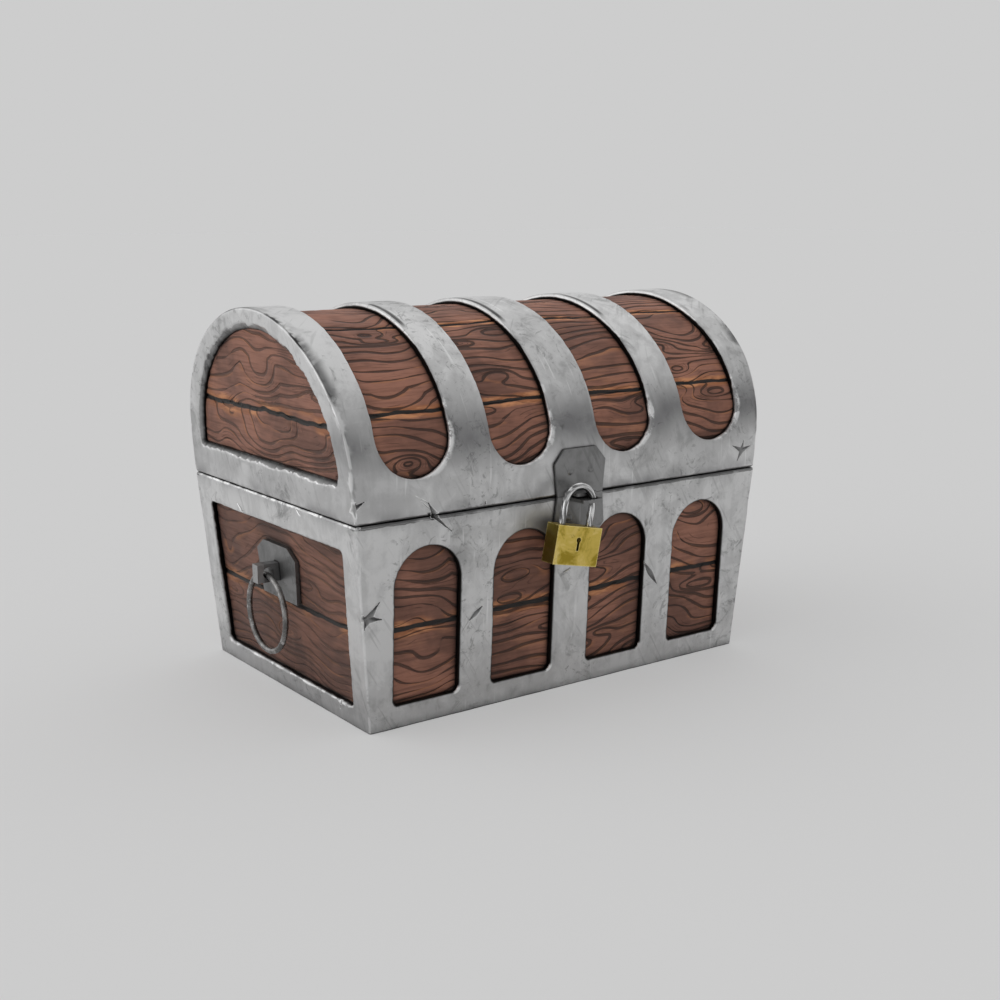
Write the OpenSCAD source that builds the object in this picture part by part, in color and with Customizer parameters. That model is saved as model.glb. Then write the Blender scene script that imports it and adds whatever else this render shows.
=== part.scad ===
// Round-topped treasure chest: a steel-bound plank box with an arched lid,
// ring handles, strap hinges and a hasp with a padlock.
// X runs along the length, the front faces -Y, Z is up.
// The origin is on the ground at the middle of the box.

/* [Box] */
// Length of the box at its foot
foot_length = 560; // [460:5:700]
// Depth of the box at its foot, front to back
foot_depth = 378; // [320:2:460]
// Length of the box at the seam with the lid
seam_length = 600; // [560:5:760]
// Depth of the box at the seam with the lid
seam_depth = 402; // [380:2:500]
// Height of the seam above the ground
seam_height = 240; // [225:1:320]
// Height of the joint between the lower and upper planks of the box
plank_joint = 115; // [60:1:116]

/* [Lid] */
// Height of the upright part of the lid's front and back
lid_wall = 45; // [40:1:90]
// Rise of the arch above the upright part
arch_rise = 175; // [165:1:195]
// Radius of the arch at its shoulders
shoulder_r = 156; // [130:1:160]
// Height above the seam of the joint in the lid's end boards
end_joint = 102; // [60:1:150]

/* [Thicknesses] */
// Thickness of the steel frames and bands
steel_t = 7; // [4:0.5:10]
// Thickness of the boards
board_t = 12; // [8:0.5:20]
// Gap between the box and the closed lid
seam_gap = 0.5; // [0.3:0.1:2]

/* [Box windows] */
// Width of each arched window
window_w = 87; // [60:1:90]
// Height of the sill under the windows
sill = 27; // [15:1:60]
// Height of the rail above the windows
top_rail = 33; // [20:1:60]
// Distance from the middle to the centre of an inner window
inner_window_x = 71.5; // [65:0.5:74]
// Distance from the middle to the centre of an outer window
outer_window_x = 205.5; // [190:0.5:210]
// Radius of the small corners of the windows
corner_r = 6; // [2:0.5:12]
// Width of the end frames' uprights
end_margin = 34; // [20:1:60]
// Height of the sill under the end windows
end_sill = 24; // [15:1:60]

/* [Lid windows] */
// Width of each inner lid window
inner_gap_w = 88; // [60:1:96]
// Distance from the middle to the centre of an inner lid window
inner_gap_x = 77; // [72:0.5:82]
// Width of each outer lid window
outer_gap_w = 96; // [60:1:100]
// Distance from the middle to the centre of an outer lid window
outer_gap_x = 221.5; // [216:0.5:226]
// Height of the lid's rails under the windows
lid_rail = 43; // [25:1:60]
// Half of the width of the end windows of the lid
end_window_half = 168; // [120:1:175]
// Rise of the end windows above the lid's upright part
end_window_rise = 151; // [110:1:160]
// Shoulder radius of the end windows
end_window_r = 138; // [60:1:150]

/* [Hasp] */
// Width of the hasp plates at their cut corners
hasp_w = 76; // [60:1:100]
// Width of the hasp plates at the seam
hasp_seam_w = 68; // [56:1:76]
// How far the hasp plates' middle lies to the right of the chest's middle
hasp_x = 4; // [0:0.5:6]
// Height of the upper hasp plate
upper_plate_h = 55; // [45:1:80]
// Height of the lower hasp plate
lower_plate_h = 54; // [45:1:80]
// Width of the corners cut from the hasp plates
hasp_cut_w = 14; // [8:1:20]
// Height of the corners cut from the hasp plates
hasp_cut_h = 16.5; // [8:0.5:20]
// Thickness of the hasp plates
hasp_t = 3.5; // [2:0.5:6]
// Width of the hasp tabs
tab_w = 29; // [27:1:36]
// Thickness of the hasp tabs
tab_t = 4; // [3:0.5:5]
// Gap between the seam and each tab
tab_drop = 1.5; // [0.5:0.5:3]
// Reach of the lower tab in front of its plate
lower_tab_reach = 28; // [26:0.5:34]
// Distance from the front of the lower plate to the middle of the shackle
shackle_reach = 20; // [17:0.5:22]
// Radius of the hole in the lower tab
tab_hole_r = 6.2; // [5.8:0.1:7]
// Distance from the tabs' right edge to the middle of the hole
hole_inset = 10; // [9.5:0.5:12]
// Gap between the upper tab and the shackle
tab_clear = 0.7; // [0.5:0.1:1.5]
// Gap between the lid's foot and the upper tab
tab_lift = 0.5; // [0.2:0.1:2]
// Radius of the lower tab's corners
lower_tab_round = 5; // [2:0.5:8]
// Radius of the upper tab's corners
upper_tab_round = 3; // [1:0.5:6]
// Height of the upper plate's rivets above the seam
upper_rivet_rise = 29; // [20:0.5:35]
// Distance between the two rivets of a hasp plate
hasp_rivet_pitch = 31; // [24:1:36]
// How far the tabs' middle lies to the right of the chest's middle
tab_offset = 2.5; // [0:0.5:5]

/* [Padlock] */
// Width of the padlock's body
lock_w = 66; // [58:1:76]
// Height of the padlock's body
lock_h = 46; // [40:1:60]
// Thickness of the padlock's body
lock_t = 21; // [18:0.5:26]
// Thickness of the shackle's bar
shackle_d = 8; // [6:0.5:8.5]
// Distance between the middles of the shackle's legs
shackle_span = 41; // [36:0.5:46]
// Height of the shackle's bar above the body
shackle_h = 46.5; // [44:0.5:60]
// Tilt of the padlock, clockwise from the front
lock_tilt = 11.5; // [0:0.5:14]
// Depth of the free leg in the body
toe_depth = 9; // [7:0.5:12]
// Depth of the captive leg in the body
heel_depth = 26; // [20:0.5:34]
// Clearance of the shackle in the body
leg_clear = 0.4; // [0.3:0.1:0.8]
// Diameter of the lock's plug
plug_d = 18.5; // [17:0.5:20]
// Length of the lock's plug
plug_len = 17; // [12:0.5:17.5]
// Height of the shackle's crown above the middle of the lower tab
crown_rise = 14.8; // [13:0.2:16]
// Distance from the body's top to the middle of the plug
keyhole_drop = 20.7; // [18:0.1:28]
// Length of the keyhole
keyhole_l = 16; // [10:0.5:16.5]
// Width of the keyhole's slot
keyhole_w = 3.4; // [1.6:0.2:4]
// Diameter of the keyhole's round end
keyhole_d = 6.4; // [4.2:0.2:7]

/* [Handles] */
// Width of a handle's plate at its cut corners
handle_plate_w = 96; // [84:1:130]
// Width of a handle's plate at its foot
handle_plate_foot_w = 84; // [60:1:84]
// Height of a handle's plate
handle_plate_h = 67; // [60:1:84]
// Height of a handle's plate below the eye
handle_plate_drop = 34.5; // [28:0.5:40]
// Width of the corners cut from a handle's plate
handle_cut_w = 18; // [8:1:24]
// Height of the corners cut from a handle's plate
handle_cut_h = 13; // [8:1:20]
// Thickness of a handle's plate
handle_plate_t = 5; // [3:0.5:6]
// Height of the handle's eye above the ground
eye_z = 150; // [120:1:165]
// Width of a handle's lug
lug_w = 13; // [10:0.5:20]
// Height of a handle's lug
lug_h = 22; // [20:0.5:30]
// Reach of a handle's lug beyond the end frame
lug_reach = 27; // [24:0.5:36]
// Distance from the end frame's face to the eye
eye_reach = 13; // [12:0.5:17]
// Radius of the eye
eye_r = 7; // [6:0.1:7]
// Thickness of the ring's bar
ring_d = 7; // [6:0.5:8.5]
// Outer diameter of the ring
ring_outer = 100; // [80:1:120]
// Gap between the ring's bar and the bottom of the eye
ring_seat_gap = 0.8; // [0.7:0.1:1.2]
// Diameter of a handle's shank
shank_d = 10; // [8:0.5:12]
// Width across the flats of a handle's nut
nut_w = 17; // [16:0.5:22]
// Thickness of a handle's nut
nut_t = 8; // [6:0.5:10]
// Length of a handle's shank beyond its nut
thread_spare = 4; // [1:0.5:8]

/* [Hinges] */
// Distance from the middle to each hinge
hinge_x = 142.5; // [141:0.5:144]
// Width of a hinge
hinge_w = 36; // [30:1:40]
// Length of a hinge's lower leaf
base_leaf_h = 58; // [45:1:80]
// Length of a hinge's upper leaf
lid_leaf_h = 41; // [35:1:43]
// Thickness of a hinge's leaves
leaf_t = 3; // [2:0.5:4]
// Radius of a hinge's knuckles
knuckle_r = 6; // [5:0.25:7]
// Width of a hinge's middle knuckle
mid_knuckle = 13; // [8:0.5:16]
// Radius of a hinge's pin
pin_r = 2.5; // [1.5:0.25:3.5]
// Running clearance of the pin in the knuckles
pin_clear = 0.06; // [0.03:0.01:0.1]
// Gap between the knuckles and what they turn past
knuckle_gap = 0.5; // [0.3:0.1:1]
// Thickness of the heads of a hinge's pin
pin_head_t = 1.5; // [1:0.25:3]
// Gap between a pin's head and its knuckle
pin_head_gap = 0.3; // [0.3:0.1:1]

/* [Rivets] */
// Radius of a rivet's shank
rivet_r = 2.5; // [1.5:0.25:4]
// Radius of a rivet's head
head_r = 4.5; // [4:0.25:7]
// Height of a rivet's head
head_h = 2; // [1:0.25:4]
// Distance between a pair of rivets
rivet_pitch = 22; // [18:1:24]
// Clearance of a rivet in its hole
rivet_clear = 0.05; // [0.03:0.01:0.1]

/* [Hidden] */
$fn = 64;

steel = "#a9aaac";
dark_steel = "#727477";
wood = "#5e4138";
inner_wood = "#6d4c40";
brass = "#ab9a4c";
polished = "#c9cbce";

end_slope = (seam_length - foot_length) / 2 / seam_height;
side_slope = (seam_depth - foot_depth) / 2 / seam_height;
end_tilt = atan(end_slope);
side_lean = atan(side_slope);
lid_bottom = seam_height + seam_gap;
spring_z = seam_height + lid_wall;
lid_top = spring_z + arch_rise;
lid_half = seam_depth / 2;
// Longer than the chest every way, for cuts that run right through
beyond = 2 * (seam_length + seam_depth + lid_top);
// Small overshoot that keeps cuts clear of the faces they pass
skim = 0.5;
lining = steel_t + board_t;

// Half of the length at a height, measured in from the end's face
function end_x(z, inset = 0) = foot_length / 2 + end_slope * z - inset / cos(end_tilt);
// Half of the depth at a height, measured in from the front's face
function side_y(z, inset = 0) = foot_depth / 2 + side_slope * z - inset / cos(side_lean);

// Carries an outline drawn in X and Z along Y, and one drawn in Y and Z along X
module along_y(depth = beyond) rotate([90, 0, 0]) linear_extrude(depth, center = true) children();
module along_x(length = beyond) rotate([90, 0, 90]) linear_extrude(length, center = true) children();

module at_left() mirror([1, 0, 0]) children();
module at_back() mirror([0, 1, 0]) children();

// Everything between the two leaning end faces, drawn in by an inset
module between_ends(z0, z1, inset) along_y() polygon([
  [-end_x(z0, inset), z0], [end_x(z0, inset), z0], [end_x(z1, inset), z1], [-end_x(z1, inset), z1]
]);
module between_sides(z0, z1, inset) along_x() polygon([
  [-side_y(z0, inset), z0], [side_y(z0, inset), z0], [side_y(z1, inset), z1], [-side_y(z1, inset), z1]
]);

// A slab that follows the leaning front, between two depths under its face
module front_slab(outer, inner, z0, z1, end_inset) intersection() {
  along_x() polygon([
    [-side_y(z0, outer), z0], [-side_y(z1, outer), z1], [-side_y(z1, inner), z1], [-side_y(z0, inner), z0]
  ]);
  between_ends(z0, z1, end_inset);
}

// The same under the right end's face
module end_slab(outer, inner, z0, z1) along_y() polygon([
  [end_x(z0, outer), z0], [end_x(z1, outer), z1], [end_x(z1, inner), z1], [end_x(z0, inner), z0]
]);

// Outline of an upright rectangle with small round corners
module soft_square(w, z0, z1, r) {
  translate([-w / 2, z0 + r]) square([w, z1 - z0 - 2 * r]);
  translate([-w / 2 + r, z0]) square([w - 2 * r, z1 - z0]);
  for (s = [-1, 1], z = [z0 + r, z1 - r]) translate([s * (w / 2 - r), z]) circle(r = r, $fn = 32);
}

// Outline of a window with a round top and small lower corners
module arched_window(w, z0, top) {
  spring = top - w / 2;
  soft_square(w, z0, spring, corner_r);
  translate([-w / 2, spring - 2 * corner_r]) square([w, 2 * corner_r]);
  translate([0, spring]) circle(d = w);
}

// The lid's section is an arch of three arcs over two uprights.
// Its stations run from the front's foot over the top to the back's foot.
side_steps = 8;
top_steps = 8;
last_station = 2 * (side_steps + top_steps) + 2;
function crown_r(half, rise, r) = (half * half + rise * rise - 2 * half * r) / (2 * (rise - r));
function shoulder_angle(half, rise, r) = atan2(crown_r(half, rise, r) - rise, half - r);
// One point of the right half of an arch, counted from its springing
function arch_point(half, rise, r, inset, n) =
  let (crown = crown_r(half, rise, r), turn = shoulder_angle(half, rise, r))
  n <= side_steps
    ? [half - r + (r - inset) * cos(turn * n / side_steps), (r - inset) * sin(turn * n / side_steps)]
    : let (a = turn + (90 - turn) * (n - side_steps) / top_steps)
      [(crown - inset) * cos(a), rise - crown + (crown - inset) * sin(a)];
function station(i, inset, half = lid_half, rise = arch_rise, r = shoulder_r, foot = lid_bottom) =
  i > last_station / 2
    ? let (p = station(last_station - i, inset, half, rise, r, foot)) [-p[0], p[1]]
    : i == 0
      ? [-(half - inset), foot]
      : let (p = arch_point(half, rise, r, inset, i - 1)) [-p[0], spring_z + p[1]];
module arch_outline(inset, half = lid_half, rise = arch_rise, r = shoulder_r, foot = lid_bottom)
  polygon([for (i = [0 : last_station]) station(i, inset, half, rise, r, foot)]);
// A strip of the lid's shell between two stations
module arch_strip(first, last, outer, inner) along_x() polygon(concat(
  [for (i = [first : last]) station(i, outer)],
  [for (i = [last : -1 : first]) station(i, inner)]
));
rail_top = 4;
stave_joint_low = 6;
stave_joint_high = 13;

// Depth of the rivets in the steel, and their places
rivet_depth = steel_t - 1;
function pair_x(x, pitch) = [x - pitch / 2, x + pitch / 2];
hasp_lower_rivet_z = seam_height - lower_plate_h / 2;
hasp_upper_rivet_z = seam_height + upper_rivet_rise;
base_leaf_rivet_z = [seam_height - base_leaf_h + 2 * head_r, seam_height - 5 * head_r];
lid_leaf_rivet_z = seam_height + lid_leaf_h - 2 * head_r;

// A shank along Y through a plate and the steel behind it, its head at the front.
// With a clearance it is the hole, which starts in front of the plate.
module rivet(y, depth, clear = 0) translate([0, y, 0]) rotate([-90, 0, 0]) {
  translate([0, 0, clear > 0 ? -skim : 0])
    cylinder(r = rivet_r + clear, h = clear > 0 ? depth + 2 * skim : depth);
  if (clear == 0) rotate([180, 0, 0]) intersection() {
    dome_r = (head_r * head_r + head_h * head_h) / (2 * head_h);
    translate([0, 0, head_h - dome_r]) sphere(r = dome_r);
    cylinder(r = head_r, h = head_h);
  }
}

module leaning_rivet(x, z, plate, clear) translate([x, -side_y(z), z]) rotate([side_lean, 0, 0])
  rivet(-plate, plate + rivet_depth, clear);
module hasp_lower_rivet_row(clear = 0) for (x = pair_x(hasp_x, hasp_rivet_pitch))
  leaning_rivet(x, hasp_lower_rivet_z, hasp_t, clear);
module hasp_upper_rivet_row(clear = 0) for (x = pair_x(hasp_x, hasp_rivet_pitch))
  translate([x, 0, hasp_upper_rivet_z]) rivet(-lid_half - hasp_t, hasp_t + rivet_depth, clear);
module base_leaf_rivets(clear = 0) for (x = [-hinge_x, hinge_x], z = base_leaf_rivet_z)
  at_back() leaning_rivet(x, z, leaf_t, clear);
module lid_leaf_rivets(clear = 0) for (middle = [-hinge_x, hinge_x], x = pair_x(middle, rivet_pitch))
  translate([x, 0, lid_leaf_rivet_z]) at_back() rivet(-lid_half - leaf_t, leaf_t + rivet_depth, clear);

// Boards of the box
module front_planks(z0, z1) front_slab(steel_t, lining, z0, z1, steel_t);
module end_planks(z0, z1) intersection() {
  end_slab(steel_t, lining, z0, z1);
  between_sides(z0, z1, lining);
}
module floor_board() color(inner_wood) intersection() {
  between_ends(0, board_t, lining);
  between_sides(0, board_t, lining);
}
module front_plank_lower() color(wood) front_planks(0, plank_joint);
module front_plank_upper() color(wood) front_planks(plank_joint, seam_height);
module back_plank_lower() at_back() front_plank_lower();
module back_plank_upper() at_back() front_plank_upper();
module right_plank_lower() color(wood) end_planks(0, plank_joint);
module right_plank_upper() color(wood) difference() {
  end_planks(plank_joint, seam_height);
  handle_shank(rivet_clear);
}
module left_plank_lower() at_left() right_plank_lower();
module left_plank_upper() at_left() right_plank_upper();

// Steel frames of the box
module side_windows() along_y() for (s = [-1, 1], x = [inner_window_x, outer_window_x])
  translate([s * x, 0]) arched_window(window_w, sill, seam_height - top_rail);
module side_frame() difference() {
  front_slab(0, steel_t, 0, seam_height, 0);
  side_windows();
}
module front_frame() color(steel) difference() {
  side_frame();
  hasp_lower_rivet_row(rivet_clear);
}
module back_frame() color(steel) difference() {
  at_back() side_frame();
  base_leaf_rivets(rivet_clear);
}
module end_window() {
  z0 = end_sill;
  z1 = seam_height - top_rail;
  foot = side_y(z0 + corner_r) - end_margin;
  head = side_y(z1 - corner_r) - end_margin;
  for (s = [0, 1]) mirror([s, 0]) {
    polygon([
      [-skim, z0], [foot - corner_r, z0], [foot, z0 + corner_r],
      [head, z1 - corner_r], [head - corner_r, z1], [-skim, z1]
    ]);
    translate([foot - corner_r, z0 + corner_r]) circle(r = corner_r, $fn = 32);
    translate([head - corner_r, z1 - corner_r]) circle(r = corner_r, $fn = 32);
  }
}
module right_frame() color(steel) difference() {
  intersection() {
    end_slab(0, steel_t, 0, seam_height);
    between_sides(0, seam_height, steel_t);
  }
  along_x() end_window();
}
module left_frame() at_left() right_frame();

// A plate of height h that widens from its foot to its cut corners
module plate_outline(foot, w, h, cut_w, cut_h) polygon([
  [-foot / 2, 0], [foot / 2, 0], [w / 2, h - cut_h], [w / 2 - cut_w, h],
  [-w / 2 + cut_w, h], [-w / 2, h - cut_h]
]);

// Hasp plates, drawn up or down from the seam
module hasp_outline(h) plate_outline(hasp_seam_w, hasp_w, h, hasp_cut_w, hasp_cut_h);
shackle_y = -(side_y(seam_height) + hasp_t + shackle_reach);
lower_tab_z = seam_height - tab_drop - tab_t;
upper_tab_z = lid_bottom + tab_lift;
upper_tab_reach = shackle_reach - shackle_d / 2 - tab_clear;
pivot_x = tab_offset + tab_w / 2 - hole_inset;
pivot_z = lower_tab_z + tab_t / 2;
module tab(z, reach, round_r) difference() {
  tip_y = -lid_half - hasp_t - reach;
  translate([tab_offset - tab_w / 2, tip_y, z]) cube([tab_w, reach + hasp_t / 2, tab_t]);
  for (s = [-1, 1]) translate([tab_offset + s * (tab_w / 2 - round_r), tip_y + round_r, z])
    difference() {
      translate([s > 0 ? 0 : -round_r - skim, -round_r - skim, -skim])
        cube([round_r + skim, round_r + skim, tab_t + 2 * skim]);
      translate([0, 0, -2 * skim]) cylinder(r = round_r, h = tab_t + 4 * skim);
    }
}
module hasp_lower_plate() color(dark_steel) difference() {
  union() {
    intersection() {
      front_slab(-hasp_t, 0, seam_height - lower_plate_h, seam_height, 0);
      along_y() translate([hasp_x, seam_height]) mirror([0, 1]) hasp_outline(lower_plate_h);
    }
    tab(lower_tab_z, lower_tab_reach, lower_tab_round);
  }
  translate([pivot_x, shackle_y, lower_tab_z - skim]) cylinder(r = tab_hole_r, h = tab_t + 2 * skim);
  hasp_lower_rivet_row(rivet_clear);
}
module hasp_lower_rivets() color(dark_steel) hasp_lower_rivet_row();
module hasp_upper_plate() color(dark_steel) difference() {
  union() {
    intersection() {
      difference() {
        along_x() arch_outline(-hasp_t);
        along_x() arch_outline(0);
      }
      along_y() translate([hasp_x, lid_bottom]) hasp_outline(upper_plate_h);
      translate([-hasp_w, -lid_half - 2 * hasp_t, 0]) cube([2 * hasp_w, lid_half, lid_top]);
    }
    tab(upper_tab_z, upper_tab_reach, upper_tab_round);
  }
  hasp_upper_rivet_row(rivet_clear);
}
module hasp_upper_rivets() color(dark_steel) hasp_upper_rivet_row();

// Handles, drawn at the right end
eye_x = end_x(eye_z) + eye_reach;
ring_z = eye_z - (eye_r - ring_d / 2 - ring_seat_gap);
ring_r = (ring_outer - ring_d) / 2;
shank_end = end_x(eye_z, lining) - nut_t - thread_spare;
lug_root = end_x(eye_z, steel_t - handle_plate_t / 2);
module handle_shank(clear = 0) translate([shank_end, 0, eye_z]) rotate([0, 90, 0])
  cylinder(d = shank_d + 2 * clear, h = lug_root - shank_end);
module right_handle_plate() color(dark_steel) difference() {
  union() {
    intersection() {
      end_slab(steel_t - handle_plate_t, steel_t, eye_z - handle_plate_h, eye_z + handle_plate_h);
      along_x() translate([0, eye_z - handle_plate_drop])
        plate_outline(handle_plate_foot_w, handle_plate_w, handle_plate_h, handle_cut_w, handle_cut_h);
    }
    translate([lug_root, -lug_w / 2, eye_z - lug_h / 2])
      cube([end_x(eye_z) + lug_reach - lug_root, lug_w, lug_h]);
    handle_shank();
  }
  translate([eye_x, 0, eye_z]) rotate([90, 0, 0]) cylinder(r = eye_r, h = lug_w + 2 * skim, center = true);
}
module left_handle_plate() at_left() right_handle_plate();
module right_handle_nut() color(dark_steel) difference() {
  translate([end_x(eye_z, lining) - nut_t, 0, eye_z]) rotate([0, 90, 0])
    cylinder(d = nut_w / cos(30), h = nut_t + nut_w * end_slope, $fn = 6);
  end_slab(-beyond / 4, lining, 0, seam_height);
  handle_shank(rivet_clear);
}
module left_handle_nut() at_left() right_handle_nut();
module right_handle_ring() color(dark_steel) translate([eye_x, 0, ring_z - ring_r]) rotate([0, 90, 0])
  rotate_extrude($fn = 96) translate([ring_r, 0]) circle(d = ring_d, $fn = 32);
module left_handle_ring() at_left() right_handle_ring();

// Hinges at the back of the seam
hinge_y = lid_half + knuckle_r + knuckle_gap;
hinge_z = seam_height + seam_gap / 2;
outer_knuckle = (hinge_w - mid_knuckle) / 2 - knuckle_gap;
module knuckle(w, grow = 0) rotate([0, 90, 0]) cylinder(r = knuckle_r + grow, h = w, center = true);
module at_hinge(x) translate([x, hinge_y, hinge_z]) children();
module outer_knuckles(x, grow = 0) for (s = [-1, 1])
  at_hinge(x + s * (hinge_w - outer_knuckle) / 2)
    knuckle(outer_knuckle + (grow > 0 ? 2 * knuckle_gap : 0), grow);
module middle_knuckle(x, grow = 0) at_hinge(x) knuckle(mid_knuckle + (grow > 0 ? 2 * knuckle_gap : 0), grow);
module pin_hole(x) at_hinge(x) rotate([0, 90, 0])
  cylinder(r = pin_r + pin_clear, h = hinge_w + 2 * skim, center = true);
module base_leaf(x) color(dark_steel) difference() {
  union() {
    difference() {
      intersection() {
        at_back() front_slab(-leaf_t, 0, seam_height - base_leaf_h, seam_height, 0);
        translate([x - hinge_w / 2, 0, 0]) cube([hinge_w, beyond, seam_height]);
      }
      middle_knuckle(x, knuckle_gap);
    }
    outer_knuckles(x);
  }
  pin_hole(x);
  base_leaf_rivets(rivet_clear);
}
module lid_leaf(x) color(dark_steel) difference() {
  union() {
    difference() {
      translate([x - hinge_w / 2, lid_half, lid_bottom]) cube([hinge_w, leaf_t, lid_leaf_h]);
      outer_knuckles(x, knuckle_gap);
    }
    middle_knuckle(x);
  }
  pin_hole(x);
  lid_leaf_rivets(rivet_clear);
}
module left_hinge_base_leaf() base_leaf(-hinge_x);
module right_hinge_base_leaf() base_leaf(hinge_x);
module hinge_base_rivets() color(dark_steel) base_leaf_rivets();
module hinge_pins() color(dark_steel) for (x = [-hinge_x, hinge_x]) at_hinge(x) rotate([0, 90, 0]) {
  cylinder(r = pin_r, h = hinge_w + 2 * (pin_head_gap + pin_head_t), center = true);
  for (s = [0, 1]) mirror([0, 0, s]) translate([0, 0, hinge_w / 2 + pin_head_gap])
    cylinder(r = pin_r + pin_head_t, h = pin_head_t);
}
module left_hinge_lid_leaf() lid_leaf(-hinge_x);
module right_hinge_lid_leaf() lid_leaf(hinge_x);
module hinge_lid_rivets() color(dark_steel) lid_leaf_rivets();

// Boards of the lid
module stave(first, last) color(wood) intersection() {
  arch_strip(first, last, steel_t, lining);
  between_ends(lid_bottom, lid_top, steel_t);
}
module lid_stave_front() stave(0, stave_joint_low);
module lid_stave_front_upper() stave(stave_joint_low, stave_joint_high);
module lid_stave_top() stave(stave_joint_high, last_station - stave_joint_high);
module lid_stave_back_upper() stave(last_station - stave_joint_high, last_station - stave_joint_low);
module lid_stave_back() stave(last_station - stave_joint_low, last_station);
module lid_end_board(z0, z1) color(wood) intersection() {
  end_slab(steel_t, lining, z0, z1);
  along_x() arch_outline(lining);
}
module lid_right_board_lower() lid_end_board(lid_bottom, seam_height + end_joint);
module lid_right_board_upper() lid_end_board(seam_height + end_joint, lid_top);
module lid_left_board_lower() at_left() lid_right_board_lower();
module lid_left_board_upper() at_left() lid_right_board_upper();

// Steel of the lid
module lid_right_frame() color(steel) difference() {
  intersection() {
    end_slab(0, steel_t, lid_bottom, lid_top);
    along_x() arch_outline(0);
  }
  along_x() arch_outline(0, end_window_half, end_window_rise, end_window_r, lid_bottom + lid_rail);
}
module lid_left_frame() at_left() lid_right_frame();
module lid_gap(x, w) {
  bottom = lid_bottom + lid_rail;
  translate([x, bottom + w / 2]) circle(d = w);
  translate([x - w / 2, bottom + w / 2]) square([w, lid_top]);
}
module lid_gaps() along_y() for (s = [-1, 1]) {
  lid_gap(s * inner_gap_x, inner_gap_w);
  lid_gap(s * outer_gap_x, outer_gap_w);
}
module lid_rail(first, last) color(steel) difference() {
  intersection() {
    arch_strip(first, last, 0, steel_t);
    between_ends(lid_bottom, lid_top, steel_t);
  }
  lid_gaps();
}
module lid_front_rail() difference() {
  lid_rail(0, rail_top);
  hasp_upper_rivet_row(rivet_clear);
}
module lid_back_rail() difference() {
  lid_rail(last_station - rail_top, last_station);
  lid_leaf_rivets(rivet_clear);
}
module lid_band(x0, x1) color(steel) intersection() {
  arch_strip(rail_top, last_station - rail_top, 0, steel_t);
  between_ends(lid_bottom, lid_top, steel_t);
  translate([x0, -beyond / 2, 0]) cube([x1 - x0, beyond, beyond]);
}
gap_1 = inner_gap_x - inner_gap_w / 2;
gap_2 = inner_gap_x + inner_gap_w / 2;
gap_3 = outer_gap_x - outer_gap_w / 2;
gap_4 = outer_gap_x + outer_gap_w / 2;
module lid_band_left_end() lid_band(-beyond / 2, -gap_4);
module lid_band_left() lid_band(-gap_3, -gap_2);
module lid_band_middle() lid_band(-gap_1, gap_1);
module lid_band_right() lid_band(gap_2, gap_3);
module lid_band_right_end() lid_band(gap_4, beyond / 2);

// Padlock, drawn about the point where its right leg passes the lower tab
lock_top = crown_rise - shackle_h;
module at_padlock() translate([pivot_x, shackle_y, pivot_z]) rotate([0, lock_tilt, 0])
  translate([-shackle_span / 2, 0, 0]) children();
module legs(clear) {
  arc_z = crown_rise - shackle_span / 2;
  for (leg = [[1, toe_depth], [-1, heel_depth]])
    translate([leg[0] * shackle_span / 2, 0, lock_top - leg[1] - clear])
      cylinder(d = shackle_d + 2 * clear, h = arc_z - lock_top + leg[1] + clear);
}
module padlock_shackle() color(polished) at_padlock() {
  legs(0);
  translate([0, 0, crown_rise - shackle_span / 2]) rotate([90, 0, 0])
    rotate_extrude(angle = 180, $fn = 96) translate([shackle_span / 2, 0]) circle(d = shackle_d, $fn = 32);
}
keyhole_z = lock_top - keyhole_drop;
module keyhole() {
  circle(d = keyhole_d, $fn = 32);
  translate([-keyhole_w / 2, -keyhole_l + keyhole_d / 2]) square([keyhole_w, keyhole_l - keyhole_d / 2]);
}
module along_lock(y0, y1) translate([0, y1, keyhole_z]) rotate([90, 0, 0])
  linear_extrude(y1 - y0) children();
plug_sunk = 1;
plug_gap = 0.3;
plug_clear = 0.05;
plug_wall = 2;
slot_l = keyhole_l - 2;
plug_back = lock_t / 2 - plug_sunk;
module padlock_body() color(brass) at_padlock() difference() {
  translate([-lock_w / 2, -lock_t / 2, lock_top - lock_h]) cube([lock_w, lock_t, lock_h]);
  legs(leg_clear);
  along_lock(-lock_t / 2 - skim, 0) translate([0, (keyhole_l - keyhole_d) / 2]) keyhole();
  along_lock(plug_back - plug_len - plug_gap, lock_t / 2 + skim) circle(d = plug_d + 2 * plug_clear);
}
module padlock_plug() color(brass) at_padlock() difference() {
  along_lock(plug_back - plug_len, plug_back) circle(d = plug_d);
  along_lock(plug_back - plug_len - skim, plug_back - plug_wall) translate([-keyhole_w / 2, -slot_l / 2])
    square([keyhole_w, slot_l]);
}

floor_board();
front_plank_lower();
front_plank_upper();
back_plank_lower();
back_plank_upper();
left_plank_lower();
left_plank_upper();
right_plank_lower();
right_plank_upper();
front_frame();
back_frame();
left_frame();
right_frame();
hasp_lower_plate();
hasp_lower_rivets();
left_handle_plate();
right_handle_plate();
left_handle_nut();
right_handle_nut();
left_handle_ring();
right_handle_ring();
left_hinge_base_leaf();
right_hinge_base_leaf();
hinge_base_rivets();
hinge_pins();
left_hinge_lid_leaf();
right_hinge_lid_leaf();
hinge_lid_rivets();
lid_stave_front();
lid_stave_front_upper();
lid_stave_top();
lid_stave_back_upper();
lid_stave_back();
lid_left_board_lower();
lid_left_board_upper();
lid_right_board_lower();
lid_right_board_upper();
lid_left_frame();
lid_right_frame();
lid_front_rail();
lid_back_rail();
lid_band_left_end();
lid_band_left();
lid_band_middle();
lid_band_right();
lid_band_right_end();
hasp_upper_plate();
hasp_upper_rivets();
padlock_shackle();
padlock_body();
padlock_plug();
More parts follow.
